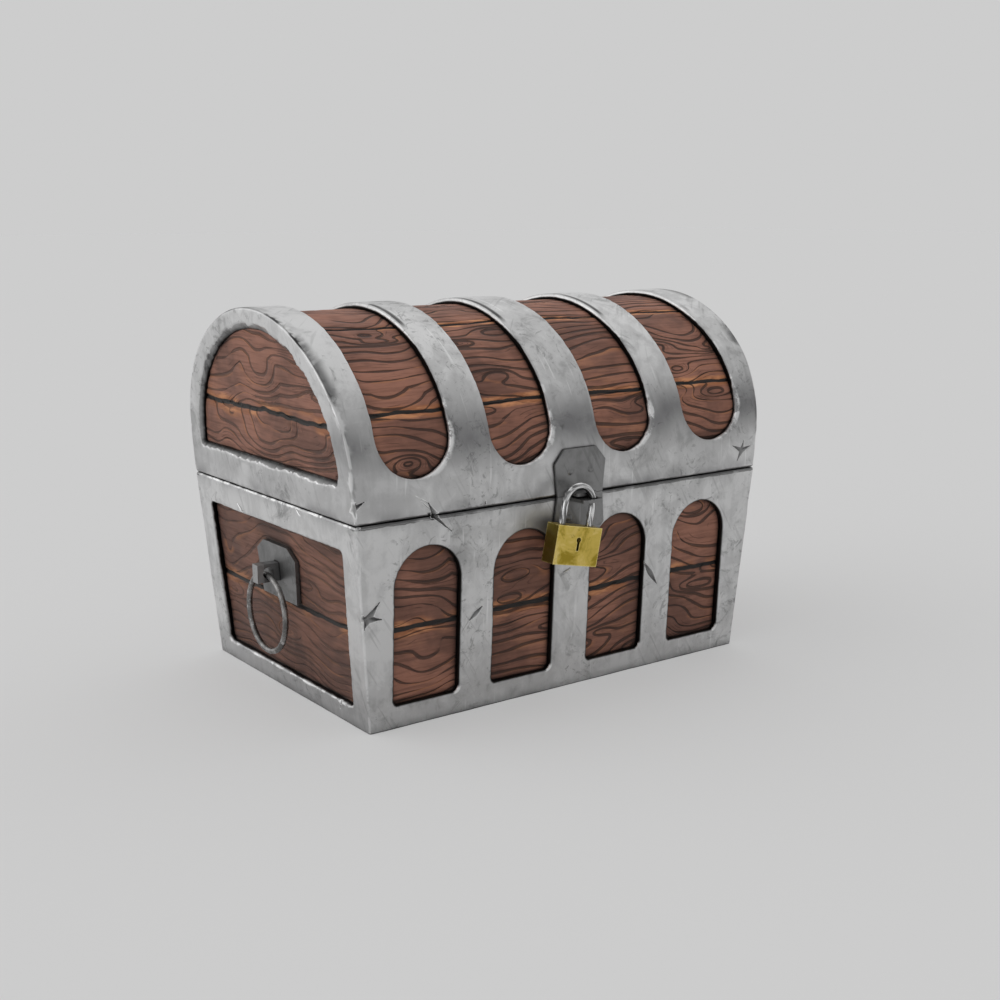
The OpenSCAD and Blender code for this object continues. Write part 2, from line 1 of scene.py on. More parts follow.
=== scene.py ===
# The looks of a steel-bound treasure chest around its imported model.
# Metres, +Z up, the front faces -Y. The boards and the steel are dense meshes
# that replace their nodes; the hardware keeps its nodes with bevels.
import math

import bmesh
import bpy
import numpy as np
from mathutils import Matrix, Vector
from mathutils.geometry import delaunay_2d_cdt


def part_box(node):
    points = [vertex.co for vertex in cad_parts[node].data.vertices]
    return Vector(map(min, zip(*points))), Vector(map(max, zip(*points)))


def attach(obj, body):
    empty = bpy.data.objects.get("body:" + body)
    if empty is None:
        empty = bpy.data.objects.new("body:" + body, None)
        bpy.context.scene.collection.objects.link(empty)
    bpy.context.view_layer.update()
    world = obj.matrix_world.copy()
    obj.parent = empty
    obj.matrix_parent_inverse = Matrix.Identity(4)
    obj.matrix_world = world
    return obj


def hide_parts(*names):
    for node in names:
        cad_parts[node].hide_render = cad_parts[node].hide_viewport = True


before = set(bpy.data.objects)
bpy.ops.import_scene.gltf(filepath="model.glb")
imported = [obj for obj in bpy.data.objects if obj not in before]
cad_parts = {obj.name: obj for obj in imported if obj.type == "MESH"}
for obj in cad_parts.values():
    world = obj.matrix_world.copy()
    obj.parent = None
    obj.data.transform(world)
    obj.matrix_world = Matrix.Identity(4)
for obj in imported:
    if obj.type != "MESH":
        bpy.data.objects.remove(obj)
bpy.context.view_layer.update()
MM = 0.001

# The box and the lid, measured on the frame
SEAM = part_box("front_frame")[1].z
SEAM_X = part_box("front_frame")[1].x
SEAM_Y = -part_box("front_frame")[0].y
LID_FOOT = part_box("lid_front_rail")[0].z
LID_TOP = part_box("lid_band_middle")[1].z
# Leans of the ends and of the front: they widen by this much up to the seam
END_LEAN = 20 * MM / SEAM
FRONT_LEAN = 12 * MM / SEAM
STEEL = 7 * MM
LINING = 19 * MM
# The arch: upright foot, shoulder arcs and a crown arc
SPRING = LID_FOOT + 44.5 * MM
RISE = LID_TOP - SPRING
SHOULDER = 156 * MM
# Windows of the box
WINDOW_W = 87 * MM
SILL = 27 * MM
WINDOW_TOP = SEAM - 33 * MM
WINDOW_X = (-205.5 * MM, -71.5 * MM, 71.5 * MM, 205.5 * MM)
END_SILL = 24 * MM
END_MARGIN = 34 * MM
CORNER = 6 * MM
# Windows of the lid: middle and width of each
LID_GAPS = ((-221.5 * MM, 96 * MM), (-77 * MM, 88 * MM), (77 * MM, 88 * MM), (221.5 * MM, 96 * MM))
LID_RAIL = 43 * MM
END_WINDOW = (168 * MM, 151 * MM, 138 * MM)
# Joints between boards
BOX_JOINT = 115 * MM
LID_END_JOINT = SEAM + 102 * MM
STAVE_CUTS = (6, 13, 21, 28)


# Noise and rows of numbers
def lattice_noise(points, seed=0):
    """Smooth noise from -1 to 1 at rows of three numbers."""
    points = np.asarray(points, float)
    cell = np.floor(points).astype(np.int64)
    f = points - cell
    f = f * f * f * (f * (f * 6 - 15) + 10)
    total = np.zeros(len(points))
    for corner in range(8):
        step = np.array([corner & 1, corner >> 1 & 1, corner >> 2 & 1])
        c = cell + step
        h = (c[:, 0] * 73856093) ^ (c[:, 1] * 19349663) ^ (c[:, 2] * 83492791) ^ (seed * 6542989)
        h = ((h ^ (h >> 13)) * 1274126177) & 0x7FFFFFFF
        h = ((h ^ (h >> 15)) * 668265263) & 0x7FFFFFFF
        value = ((h >> 7) & 0xFFFF) / 32767.5 - 1
        total += value * np.prod(np.where(step, f, 1 - f), axis=1)
    return total


def layered(points, seed=0, layers=3):
    total = np.zeros(len(points))
    for k in range(layers):
        total += lattice_noise(np.asarray(points) * 2**k, seed + 17 * k) / 2**k
    return total


def columns(*parts):
    """Rows of numbers from columns side by side. A single number fills its column."""
    return np.stack(np.broadcast_arrays(*parts), -1)


def smooth(a, b, x):
    t = np.clip((x - a) / (b - a), 0, 1)
    return t * t * (3 - 2 * t)


# Places on the box and the lid
def half_length(z):
    return SEAM_X - END_LEAN * (SEAM - np.asarray(z))


def half_depth(z):
    return SEAM_Y - FRONT_LEAN * (SEAM - np.asarray(z))


def arch_centres(half, rise, r):
    crown = (half * half + rise * rise - 2 * half * r) / (2 * (rise - r))
    turn = math.atan2(crown - rise, half - r)
    return crown, turn


CROWN, TURN = arch_centres(SEAM_Y, RISE, SHOULDER)
S_SPRING = SPRING - LID_FOOT
S_CROWN = S_SPRING + SHOULDER * TURN
S_TOP = S_CROWN + CROWN * (math.pi / 2 - TURN)


def arch(s, h=0):
    """Point (y, z) and outward direction on the lid's section, s along it from the front's foot."""
    s = np.asarray(s, float)
    back = s > S_TOP
    q = np.where(back, 2 * S_TOP - s, s)
    a = np.where(q < S_SPRING, 0, (q - S_SPRING) / SHOULDER)
    b = TURN + (q - S_CROWN) / CROWN
    crown = q > S_CROWN
    angle = np.where(crown, b, a)
    y = np.where(crown, CROWN * np.cos(b), SEAM_Y - SHOULDER + SHOULDER * np.cos(a))
    z = np.where(crown, SPRING + RISE - CROWN + CROWN * np.sin(b), SPRING + SHOULDER * np.sin(a))
    z = np.where(q < S_SPRING, LID_FOOT + q, z)
    ny, nz = np.cos(angle), np.sin(angle)
    y, z = y + h * ny, z + h * nz
    sign = np.where(back, 1, -1)
    return y * sign, z, ny * sign, nz


def arch_length_at(z):
    """Length along the front of the arch at which it reaches a height."""
    z = np.asarray(z, float)
    a = np.arcsin(np.clip((z - SPRING) / SHOULDER, 0, 1))
    return np.where(z < SPRING, z - LID_FOOT, S_SPRING + SHOULDER * a)


def side_place(side):
    """Places (u, z, h) on one side of the box: 0 front, 1 right, 2 back, 3 left."""
    def place(u, z, h):
        out = (half_depth(z) if side % 2 == 0 else half_length(z)) + h
        x, y = [(u, -out), (out, u), (-u, out), (-out, -u)][side]
        return columns(x, y, z)
    return place


def arch_place(x, s, h):
    y, z, _, _ = arch(s, h)
    return columns(x, y, z)


def lid_end_place(sign):
    def place(u, z, h):
        return columns(sign * (half_length(z) + h), sign * np.asarray(u), z)
    return place


# Outlines of the windows and gaps
def arc(cx, cz, r, a0, a1, n):
    a = np.linspace(a0, a1, n)
    return columns(cx + r * np.cos(a), cz + r * np.sin(a))


def resample(outline, spacing):
    """The closed outline with points at an even spacing, and its outward directions."""
    p = np.vstack([outline, outline[:1]])
    run = np.concatenate([[0], np.cumsum(np.linalg.norm(np.diff(p, axis=0), axis=1))])
    n = int(round(run[-1] / spacing))
    t = np.arange(n) * run[-1] / n
    q = np.stack([np.interp(t, run, p[:, k]) for k in (0, 1)], -1)
    d = np.roll(q, -1, 0) - np.roll(q, 1, 0)
    d /= np.linalg.norm(d, axis=1)[:, None]
    return q, columns(d[:, 1], -d[:, 0])


def panel(edge, s, n):
    """The outline of a face with its edge at each s, and n points along its foot and its top."""
    foot, top = (np.linspace(-end, end, n) for end in (edge[0], edge[-1]))
    return np.vstack([columns(foot, s[0]), columns(edge, s)[1:-1], columns(top[::-1], s[-1]),
                      columns(-edge, s)[::-1][1:-1]])


def corner_arc(x, z, begins):
    """A quarter turn round a window's corner. It begins at a share of a half turn."""
    return arc(x, z, CORNER, begins * math.pi, (begins + 0.5) * math.pi, 6)


def arched_window(x):
    w, z = WINDOW_W / 2, SILL + CORNER
    return np.vstack([corner_arc(x - w + CORNER, z, 1), corner_arc(x + w - CORNER, z, 1.5),
                      arc(x, WINDOW_TOP - w, w, 0, math.pi, 40)])


def end_window():
    z0, z1 = END_SILL + CORNER, WINDOW_TOP - CORNER
    low, high = half_depth(z0) - END_MARGIN - CORNER, half_depth(z1) - END_MARGIN - CORNER
    return np.vstack([corner_arc(-low, z0, 1), corner_arc(low, z0, 1.5), corner_arc(high, z1, 0),
                      corner_arc(-high, z1, 0.5)])


def lid_gap(x, w):
    foot = arc(x, LID_FOOT + LID_RAIL + w / 2, w / 2, math.pi, 2 * math.pi, 40)
    foot[:, 1] = arch_length_at(foot[:, 1])
    head = foot.copy()
    head[:, 1] = 2 * S_TOP - head[:, 1]
    return np.vstack([foot, head[::-1]])


def lid_end_window():
    half, rise, r = END_WINDOW
    crown, turn = arch_centres(half, rise, r)
    foot = LID_FOOT + LID_RAIL
    right = np.vstack([
        [[half, foot]],
        arc(half - r, SPRING, r, 0, turn, 16),
        arc(0, SPRING + rise - crown, crown, turn, math.pi / 2, 16),
    ])
    return np.vstack([right, (right * [-1, 1])[::-1][1:]])


# Meshes and their edges
MERGE = 0.04 * MM
BATCH = 4000
# A face's grid: its rows' distance, and how far it keeps from outlines and extra points, over its spacing
ROW_STEP, CLEAR_OF_EDGE, CLEAR_OF_EXTRA = 0.87, 0.45, 0.6


def read(mesh, name):
    """A mesh's points or normals, or an attribute of its points."""
    count = len(mesh.vertices)
    if name in ("co", "normal"):
        values = np.empty(count * 3, np.float32)
        mesh.vertices.foreach_get(name, values)
        return values.reshape(-1, 3).astype(float)
    values = np.empty(count, np.float32)
    mesh.attributes[name].data.foreach_get("value", values)
    return values


def write(mesh, name, values):
    """Adds an attribute of one number, or three, for each point."""
    values = np.asarray(values, np.float32)
    kind, field = ("FLOAT", "value") if values.ndim == 1 else ("FLOAT_VECTOR", "vector")
    mesh.attributes.new(name, kind, "POINT").data.foreach_set(field, values.ravel())


def finished(name, mesh, material, merge=None):
    """Turns a mesh's faces outward, after welding its points if asked, and makes a piece of it."""
    bm = bmesh.new()
    bm.from_mesh(mesh)
    if merge:
        bmesh.ops.remove_doubles(bm, verts=bm.verts, dist=merge)
        bmesh.ops.dissolve_degenerate(bm, edges=bm.edges, dist=1e-6)
    bmesh.ops.recalc_face_normals(bm, faces=bm.faces)
    bm.to_mesh(mesh)
    bm.free()
    mesh.materials.append(material)
    mesh.shade_smooth()
    piece = bpy.data.objects.new(name, mesh)
    bpy.context.scene.collection.objects.link(piece)
    return piece


def enclosed(points, outline):
    """Which points lie inside a closed outline."""
    x, y = points[:, 0], points[:, 1]
    result = np.zeros(len(points), bool)
    ax, ay = outline[:, 0], outline[:, 1]
    bx, by = np.roll(ax, -1), np.roll(ay, -1)
    for k in range(len(outline)):
        if ay[k] == by[k]:
            continue
        cross = (ay[k] > y) != (by[k] > y)
        result ^= cross & (x < (bx[k] - ax[k]) * (y - ay[k]) / (by[k] - ay[k]) + ax[k])
    return result


def within(points, loops):
    """Which points lie inside the first outline and outside its holes."""
    return np.logical_xor.reduce([enclosed(points, loop) for loop in loops])


def nearest(points, others):
    """From each point to the nearest of the others, worked out in batches."""
    return np.concatenate([np.linalg.norm(points[k:k + BATCH, None] - others, axis=2).min(1)
                           for k in range(0, len(points), BATCH)])


def scattered(loops, spacing, extra):
    """Points of a staggered grid within some outlines and clear of them, with extra ones in their place."""
    low, high = loops[0].min(0) + spacing / 2, loops[0].max(0)
    us, vs = np.arange(low[0], high[0], spacing), np.arange(low[1], high[1], spacing * ROW_STEP)
    grid = np.array([(u + (k % 2) * spacing / 2, v) for k, v in enumerate(vs) for u in us])
    if extra is None:
        extra = grid[:0]
    else:
        grid = grid[nearest(grid, extra[::7]) > spacing * CLEAR_OF_EXTRA]
    limit = np.repeat([spacing * CLEAR_OF_EDGE, 0.5 * MM], [len(grid), len(extra)])
    grid = np.vstack([grid, extra])
    clear = np.min([nearest(grid, loop) for loop in loops], axis=0)
    return grid[within(grid, loops) & (clear > limit)]


def quads(grid, flip=False):
    """The faces of a grid of point numbers."""
    loop = [grid[:-1, :-1], grid[:-1, 1:], grid[1:, 1:], grid[1:, :-1]]
    if flip:
        loop[1], loop[3] = loop[3], loop[1]
    return columns(*loop).reshape(-1, 4).tolist()


class Shell:
    """Collects points with their rubbing and painted sheen, and their painted shade, and faces, and makes one
    mesh of them.
    """

    def __init__(self):
        self.points, self.wear, self.shade, self.faces, self.count = [], [], [], [], 0

    def add(self, points, wear, shade):
        points = np.asarray(points, float).reshape(-1, 3)
        first = self.count
        self.points.append(points)
        self.wear.append(np.broadcast_to(wear, len(points)))
        self.shade.append(np.broadcast_to(shade, len(points)))
        self.count += len(points)
        return first

    def strip(self, rows, wear, shade, closed=False):
        """Quads between rows of equal length."""
        starts = [self.add(r, w, g) for r, w, g in zip(rows, wear, shade)]
        grid = np.add.outer(starts, np.arange(len(rows[0])))
        self.faces += quads(np.hstack([grid, grid[:, :1]]) if closed else grid)

    def fill(self, outer, holes, spacing, place, h=0, flip=False, extra=None, shade=0):
        """Triangles between an outline and its holes, with points inside at a spacing, and extra ones."""
        loops = [outer, *holes]
        edges, start = [], 0
        for loop in loops:
            edges += [(start + k, start + (k + 1) % len(loop)) for k in range(len(loop))]
            start += len(loop)
        flat = np.vstack(loops + [scattered(loops, spacing, extra)] if spacing else loops)
        result = delaunay_2d_cdt([Vector(p) for p in flat], edges, [], 0, 1e-7)
        q = np.array([tuple(v) for v in result[0]])
        first = self.add(place(q[:, 0], q[:, 1], h), 0, shade)
        tris = np.array([f for f in result[2] if len(f) == 3])
        tris = tris[within(q[tris].mean(1), loops)] + first
        self.faces += (tris[:, ::-1] if flip else tris).tolist()

    def rim(self, outline, place, rings, spacing, noise_seed, edge):
        """The rounded edge and the reveal of a window; returns the outline where its face begins.

        edge gives how rubbed the edge is, the reveal's painted light (above 0 a painted highlight on the lip,
        less painted shade on its rounding and a patchy painted shade just outside it; below 0 more painted
        shade), the chips and the size of the edge along the outline."""
        base, out = resample(outline, spacing)
        rubbed, lit, chips, size = edge(base)
        seat = place(base[:, 0], base[:, 1], 0)
        rough = layered(seat * 60, noise_seed)
        rough += 0.8 * layered(seat * 230, noise_seed + 5, 2)
        slow = layered(seat * 16, noise_seed + 9, 2)
        shine = np.maximum(lit, 0)
        core = min(ring[0] for ring in rings if ring[1] == 0)
        rows, wear, shade, lines = [], [], [], []
        for d, h, grow, w, g in rings:
            swell = size * np.clip(1 + 0.35 * grow * chips * rough, 0.55, 1.25)
            reach = min(d, core) * swell + max(d - core, 0)
            lines.append(base + out * reach[:, None])
            rows.append(place(lines[-1][:, 0], lines[-1][:, 1], np.maximum(h * swell, -STEEL)))
            # Where lit, the lip gets a painted highlight and a patchy painted shade lies just outside it; the
            # shade column is painted shade.
            wear.append(w * rubbed * (1 - shine) - 0.4 * shine * (d < core))
            shade_beside_light = 0.75 * shine * smooth(-0.75, 0.05, slow) * (core <= d < rings[0][0])
            cleared = 1 - 0.9 * smooth(0.95, 1.2, rubbed)
            shade.append(np.clip((g * (1 - lit) * cleared if g < 0.88 else g) + shade_beside_light, 0, 1))
        self.strip(rows, wear, shade, closed=True)
        return lines[0], base

    def face(self, place, windows, noise_seed, outside, inside, cloud=None, inner_step=None):
        """One face with windows in it: their edges, then the outside and the inside of the steel, the inside
        wholly in painted shade.
        """
        rims = [self.rim(outline, place, profile, RIM_STEP, noise_seed + k, edge)
                for k, (outline, profile, edge) in enumerate(windows)]
        faces, bases = zip(*rims)
        self.fill(outside, faces, FACE_STEP, place, extra=cloud)
        self.fill(inside, bases, inner_step, place, h=-STEEL, flip=True, shade=1)

    def build(self, name, material):
        mesh = bpy.data.meshes.new(name)
        mesh.from_pydata(np.vstack(self.points).tolist(), [], self.faces)
        write(mesh, "wear", np.concatenate(self.wear))
        write(mesh, "shade", np.concatenate(self.shade))
        return finished(name, mesh, material, MERGE)


# Rings round a window: distance into the steel, depth, roughness, wear, painted shade
def rings(r, dim, halo=3 * MM):
    return [
        (r + halo, 0, 0.15, 0, 0), (r + 0.5 * halo, 0, 0.5, 0, 0), (r, 0, 1, 0.6, 0.2 * dim),
        (0.5 * r, -0.13 * r, 1, 1, 0.5 * dim), (0.13 * r, -0.5 * r, 1, 1, 0.8 * dim),
        (0, -r, 1, 0.7, 0.15 + 0.7 * dim), (0, -r - 0.7 * MM, 0.3, 0, 0.9), (0, -STEEL, 0, 0, 1),
    ]


FRONT_RINGS, SIDE_RINGS = rings(1.5 * MM, 0.9), rings(1.9 * MM, 0.35)
GAP_RINGS = rings(1.9 * MM, 0.15, 7 * MM)
# The chamfer of the lid's end windows
END_RINGS = [
    (8.5 * MM, 0, 0.1, 0, 0), (6.5 * MM, 0, 0.8, 0.4, 0), (5.8 * MM, -0.6 * MM, 0.9, 0.8, 0.05),
    (5.0 * MM, -1.3 * MM, 0.9, 0.1, 0.2), (2.6 * MM, -3.4 * MM, 0.6, 0, 0.26),
    (0.6 * MM, -5.0 * MM, 0.5, 0, 0.36), (0, -5.6 * MM, 0.2, 0, 0.95), (0, -STEEL, 0, 0, 1),
]


def specks(base, across, along, low, high):
    """Noise over a window's outline, with a scale each way."""
    return smooth(low, high, layered(columns(base[:, 0] * across, base[:, 1] * along, 0), 77, 2))


def window_edge(x):
    """Box windows have painted shade round their edges, deepest and widest at the far left and a little wider
    on the right, and are rubbed at their right foot.
    """
    def edge(base):
        corner = 1 - smooth(4 * MM, 10 * MM, np.hypot(base[:, 0] - x - WINDOW_W / 2, base[:, 1] - SILL))
        across = (base[:, 0] - x) / (WINDOW_W / 2)
        right, left = smooth(0.2, 0.9, across), 1 - smooth(-0.98, -0.8, across)
        size = 1.1 + 0.1 * right + 0.4 * left + 0.2 * corner
        return 0.08 + 1.2 * corner, -0.3 * (1 - corner) - 0.5 * left, 0.7, size
    return edge


def end_window_edge(base):
    """The box's end windows have a broad and chipped foot, with painted shade deepest there and at both
    sides.
    """
    foot = 1 - smooth(1 * MM, 5 * MM, base[:, 1] - END_SILL)
    back = smooth(0.6, 0.95, np.abs(base[:, 0]) / (SEAM_Y - END_MARGIN))
    rubbed = 0.1 + 0.75 * foot * specks(base, 60, 9, -0.5, 0.0)
    return rubbed, -0.5 * back - 0.7 * foot, 1.3, 1 + 0.5 * foot + 0.25 * back


def gap_edge(x, w):
    """Lid gaps are broad and rubbed low on their right edge, with black painted shade above that, and a
    painted highlight at the crown.
    """
    def edge(base):
        u, s = (base[:, 0] - x) / (w / 2), np.minimum(base[:, 1], 2 * S_TOP - base[:, 1])
        low = smooth(-0.2, 0.7, u) * (1 - smooth(80 * MM, 140 * MM, s))
        crown = smooth(0.9, 1, u) * smooth(190 * MM, 255 * MM, s)
        black = smooth(0.85, 1, u) * smooth(90 * MM, 130 * MM, s) - crown
        dashes = smooth(0.8, 1, u) * specks(base, 9, 70, 0.1, 0.4) * (1 - crown)
        rubbed, size = 0.08 + 0.9 * low + 0.8 * dashes, 1 + 1.1 * low + 0.7 * crown
        return rubbed, crown - 3 * black, 1 - 0.8 * crown, size
    return edge


def lid_end_edge(base):
    """The lid's end windows are rubbed in specks at the foot, with painted shade there and towards the back.
    """
    foot = 1 - smooth(1 * MM, 4 * MM, base[:, 1] - LID_FOOT - LID_RAIL)
    back = 1 - smooth(-0.1, 0.6, base[:, 0] / END_WINDOW[0])
    rubbed = 0.08 + 0.85 * foot * specks(base, 120, 9, 0.3, 0.7)
    return rubbed, -1.6 * foot - back * (1 - foot), 1.2, 1


# Steel frames
CORNER_R = 3.5 * MM
CORNER_STEPS = 6
SEAM_R = 3.2 * MM
FOOT_R = 1.5 * MM
LID_EDGE_R = 2.2 * MM
FACE_STEP, INNER_STEP = 5 * MM, 14 * MM
RIM_STEP = 2.4 * MM
N_FRONT, N_END, N_HEIGHT, N_ARCH = 150, 100, 48, 141


def turned(side, a, b):
    return [(a, b), (-b, a), (-a, -b), (b, -a)][side]


def frame_loop(z, h, half_u, half_w, r=CORNER_R):
    """A closed loop round the four sides at one height, sunk by -h."""
    r = max(r + h, 0)
    rows = []
    for side in range(4):
        u, w = (half_u + h, half_w + h) if side % 2 == 0 else (half_w + h, half_u + h)
        line = np.linspace(-(u - r), u - r, N_FRONT if side % 2 == 0 else N_END)
        turn = np.linspace(0, math.pi / 2, CORNER_STEPS)[1:-1]
        a = np.concatenate([line, u - r + r * np.sin(turn)])
        b = np.concatenate([np.full(len(line), -w), -(w - r + r * np.cos(turn))])
        rows.append(columns(*turned(side, a, b), z))
    return np.vstack(rows)


def brim(shell, z, up, r, half_u, half_w, rub, corner=CORNER_R):
    """The rounded rim of the box or the lid, from its faces to the boards. It is rubbed most on the ends, and
    darkened with painted shade over its rounding and its flat.
    """
    rows, wear, shade = [], [], []
    for angle in np.linspace(0, math.pi / 2, CORNER_STEPS):
        height = z + up * r * (math.sin(angle) - 1)
        row = frame_loop(height, -r * (1 - math.cos(angle)), half_u(height), half_w(height), corner)
        ends = smooth(-6 * MM, -2 * MM, np.abs(row[:, 0]) - half_u(height))
        uneven = layered(row * [45, 45, 0] + [0, 0, up], 31, 3)
        rows.append(row)
        middle = 0.4 + 0.6 * math.sin(2 * angle)
        wear.append(rub * (0.25 + 0.75 * ends) * middle * smooth(-0.7, 0.1, uneven))
        # Painted shade: grey over the rounding, darker towards the flat.
        dark = (0.43 + 0.08 * up) * smooth(0.05, 0.35, angle + 0.1 * uneven) * (1 - 0.6 * ends * rub)
        shade.append(np.clip(dark + 0.7 * smooth(1.0, 1.45, angle + 0.35 * uneven), 0, 1))
    for depth, dark in ((r + 1 * MM, 0.35), (STEEL, 0.2)):
        rows.append(frame_loop(z, -depth, half_u(z), half_w(z), corner))
        wear.append(0)
        shade.append(dark)
    shell.strip(rows, wear, shade, closed=True)


def slit_cloud(slits, to_flat):
    """Extra points round the nicks, in the flat coordinates of a face."""
    cloud = []
    for a, b, half, _, _ in slits:
        a, b = np.asarray(to_flat(a)), np.asarray(to_flat(b))
        length = np.linalg.norm(b - a)
        d = (b - a) / length
        side = np.array([-d[1], d[0]])
        cloud += [a + d * t + side * w for t in np.arange(-half, length + half, 0.9 * MM)
                  for w in np.arange(-half - 1 * MM, half + 1.1 * MM, 0.8 * MM)]
    return np.array(cloud)


def about(x, middle, reach):
    """1 in the middle, fading over a reach in millimetres."""
    return np.exp(-((x - middle) / (reach * MM)) ** 2)


def painted_shade_on(co):
    """Painted shade on the steel: on the upright feet of the lid's bands, along the seam, beside the hasp, on
    the ends low down and on the lid's rails, and a painted shadow beside the lock.
    """
    x, y, z = co.T
    side = smooth(0.72, 0.9, np.abs(y) / SEAM_Y)
    bands = about(z, LID_FOOT + 84 * MM, 30) * side * smooth(-1.1, 0.1, layered(co * 12, 51, 3))
    seam = about(z, SEAM + 2 * MM, 9) * smooth(-0.5, 0.6, layered(co * 35, 53, 3))
    beside_hasp = about(x, 76 * MM, 26) * about(z, SEAM + 3 * MM, 6) * (y < 0)
    beside_lock = about(x, -40 * MM, 13) * about(z, 212 * MM, 13) * (y < 0)
    on_end = smooth(0.985, 1.0, np.abs(x) / half_length(z))
    sill = on_end * smooth(60 * MM, 20 * MM, z)
    end_rail = on_end * about(z, SEAM + 22 * MM, 20)
    lid_rail = about(z, SEAM + 24 * MM, 18) * smooth(-190 * MM, -260 * MM, x) * (1 - on_end)
    return np.clip(0.84 * bands + 0.55 * seam + 0.7 * beside_hasp + 0.8 * beside_lock + 0.38 * sill
                   + 0.24 * end_rail + 0.26 * lid_rail, 0, 1)


def forge(piece, slits, rim):
    """Hammers the steel: slow unevenness, chipped edges and nicks. Nothing rises at the height of its rim."""
    mesh = piece.data
    co, normal, wear, shade = (read(mesh, name) for name in ("co", "normal", "wear", "shade"))
    move = 0.28 * MM * layered(co * 20, 3) + 0.12 * MM * layered(co * 90, 9, 2)
    move -= 0.9 * MM * np.maximum(wear, 0) * np.clip(layered(co * 110, 21, 2) - 0.2, 0, 1)
    cut = np.zeros(len(co))
    for a, b, half, depth, wedge in slits:
        a, b = np.asarray(a), np.asarray(b)
        d = b - a
        t = ((co - a) @ d) / (d @ d)
        off = np.linalg.norm(co - a - np.clip(t, 0, 1)[:, None] * d, axis=1)
        width = half * np.clip(1 - t if wedge else 1 - np.abs(2 * t - 1) ** 1.5, 0.12, 1)
        cut = np.maximum(cut, depth * np.clip(1 - off / width, 0, 1))
    move -= cut
    near = 1 - smooth(2.5 * MM, 6 * MM, np.abs(co[:, 2] - rim))
    move = np.where(near > 0, move * (1 - near) - np.abs(move) * near, move)
    co += normal * (move * (1 - np.clip(shade, 0, 1)))[:, None]
    co[:, 2] = np.maximum(co[:, 2], 0)
    mesh.vertices.foreach_set("co", co.astype(np.float32).ravel())
    # The steel's painted shade, and each nick's depth.
    write(mesh, "painted_shade", painted_shade_on(co))
    write(mesh, "nick", np.clip(cut / (1.2 * MM), 0, 1))
    mesh.update()


def on_front(x, z):
    """A place on the box's front or the lid's."""
    return x * MM, -float(half_depth(z * MM)) if z * MM < SEAM else -SEAM_Y, z * MM


def on_left(y, z):
    return -float(half_length(z * MM)), y * MM, z * MM


def nicks(face, *rows):
    """Nicks between two places on a face, with half widths and depths. A wedge is widest at the first."""
    return [(face(a, b), face(a2, b2), half * MM, depth * MM, bool(wedge))
            for a, b, a2, b2, half, depth, *wedge in rows]


def star(face, a, b, arms, half, depth):
    """Nicks that spread from one place."""
    return nicks(face, *((a, b, a + da, b + db, half, depth, True) for da, db in arms))


# Places and sizes of the nicks, in millimetres
FRONT_NICKS = star(on_front, -283, 135, ((14, 17), (17, -3), (-13, 2), (-5, -11)), 6.0, 3.4) + nicks(
    on_front, (-150, 109, -130, 125, 3.4, 2.8), (115, 139, 139, 107, 4.4, 3.2),
    (-206, 245, -176, 219, 3.6, 2.6, True), (-14, 146, -3, 150, 1.4, 1.2), (2, 60, 3, 69, 1.4, 0.6),
    (-300, 243, -294, 236, 3.0, 1.6, True))
LEFT_NICKS = nicks(on_left, (86, 218, 68, 206, 2.2, 1.8), (-67, 239, -79, 230, 1.8, 1.2),
                   (-131, 35, -126, 13, 4.2, 3.4, True))
LID_NICKS = star(on_front, 276, 264, ((-17, 8), (16, 5), (-8, -13), (3, 13)), 5.0, 2.6) + nicks(
    on_front, (-200, 243, -207, 255, 4.0, 2.6, True), (-206, 254, -228, 268, 1.2, 0.8, True),
    (-131, 241, -130, 249, 2.0, 1.8, True), (-218, 259, -203, 246, 1.2, 0.8))
LID_NICKS += star(on_front, -303, 259, ((15, 7), (5, -9), (1, 13), (-5, -4)), 5.4, 3.2)
# The painted crack through the seam, and how far it leans
CRACK_X, CRACK_LEAN = -203 * MM, 0.6


def box_steel(material):
    shell = Shell()
    heights, ends = np.linspace(FOOT_R, SEAM - SEAM_R, N_HEIGHT), np.array([0, SEAM])
    turn = np.linspace(0, math.pi / 2, CORNER_STEPS)
    clouds = {0: slit_cloud(FRONT_NICKS, lambda p: (p[0], p[2])),
              3: slit_cloud(LEFT_NICKS, lambda p: (-p[1], p[2]))}
    for side in range(4):
        if side % 2 == 0:
            half, other, n = half_length, half_depth, N_FRONT
            windows = [(arched_window(x), FRONT_RINGS, window_edge(x)) for x in WINDOW_X]
        else:
            half, other, n = half_depth, half_length, N_END
            windows = [(end_window(), SIDE_RINGS, end_window_edge)]
        outside, inside = panel(half(heights) - CORNER_R, heights, n), panel(half(ends) - STEEL, ends, n)
        shell.face(side_place(side), windows, 10 * side, outside, inside, clouds.get(side))
        z = heights[:, None]
        a, b = half(z) - CORNER_R + CORNER_R * np.sin(turn), -(other(z) - CORNER_R + CORNER_R * np.cos(turn))
        shell.strip(columns(*turned(side, a, b), z), [0.05 + 0.35 * np.sin(2 * turn)] * len(z), [0] * len(z))
    brim(shell, SEAM, 1, SEAM_R, half_length, half_depth, 1)
    brim(shell, 0, -1, FOOT_R, half_length, half_depth, 0)
    piece = shell.build("box_steel", material)
    forge(piece, FRONT_NICKS + LEFT_NICKS, SEAM)
    return piece


def closed(y, z, reach, foot):
    """The arch's section, closed along its foot."""
    return np.vstack([columns(y, z), columns(np.linspace(reach, -reach, N_END)[1:-1], foot)])


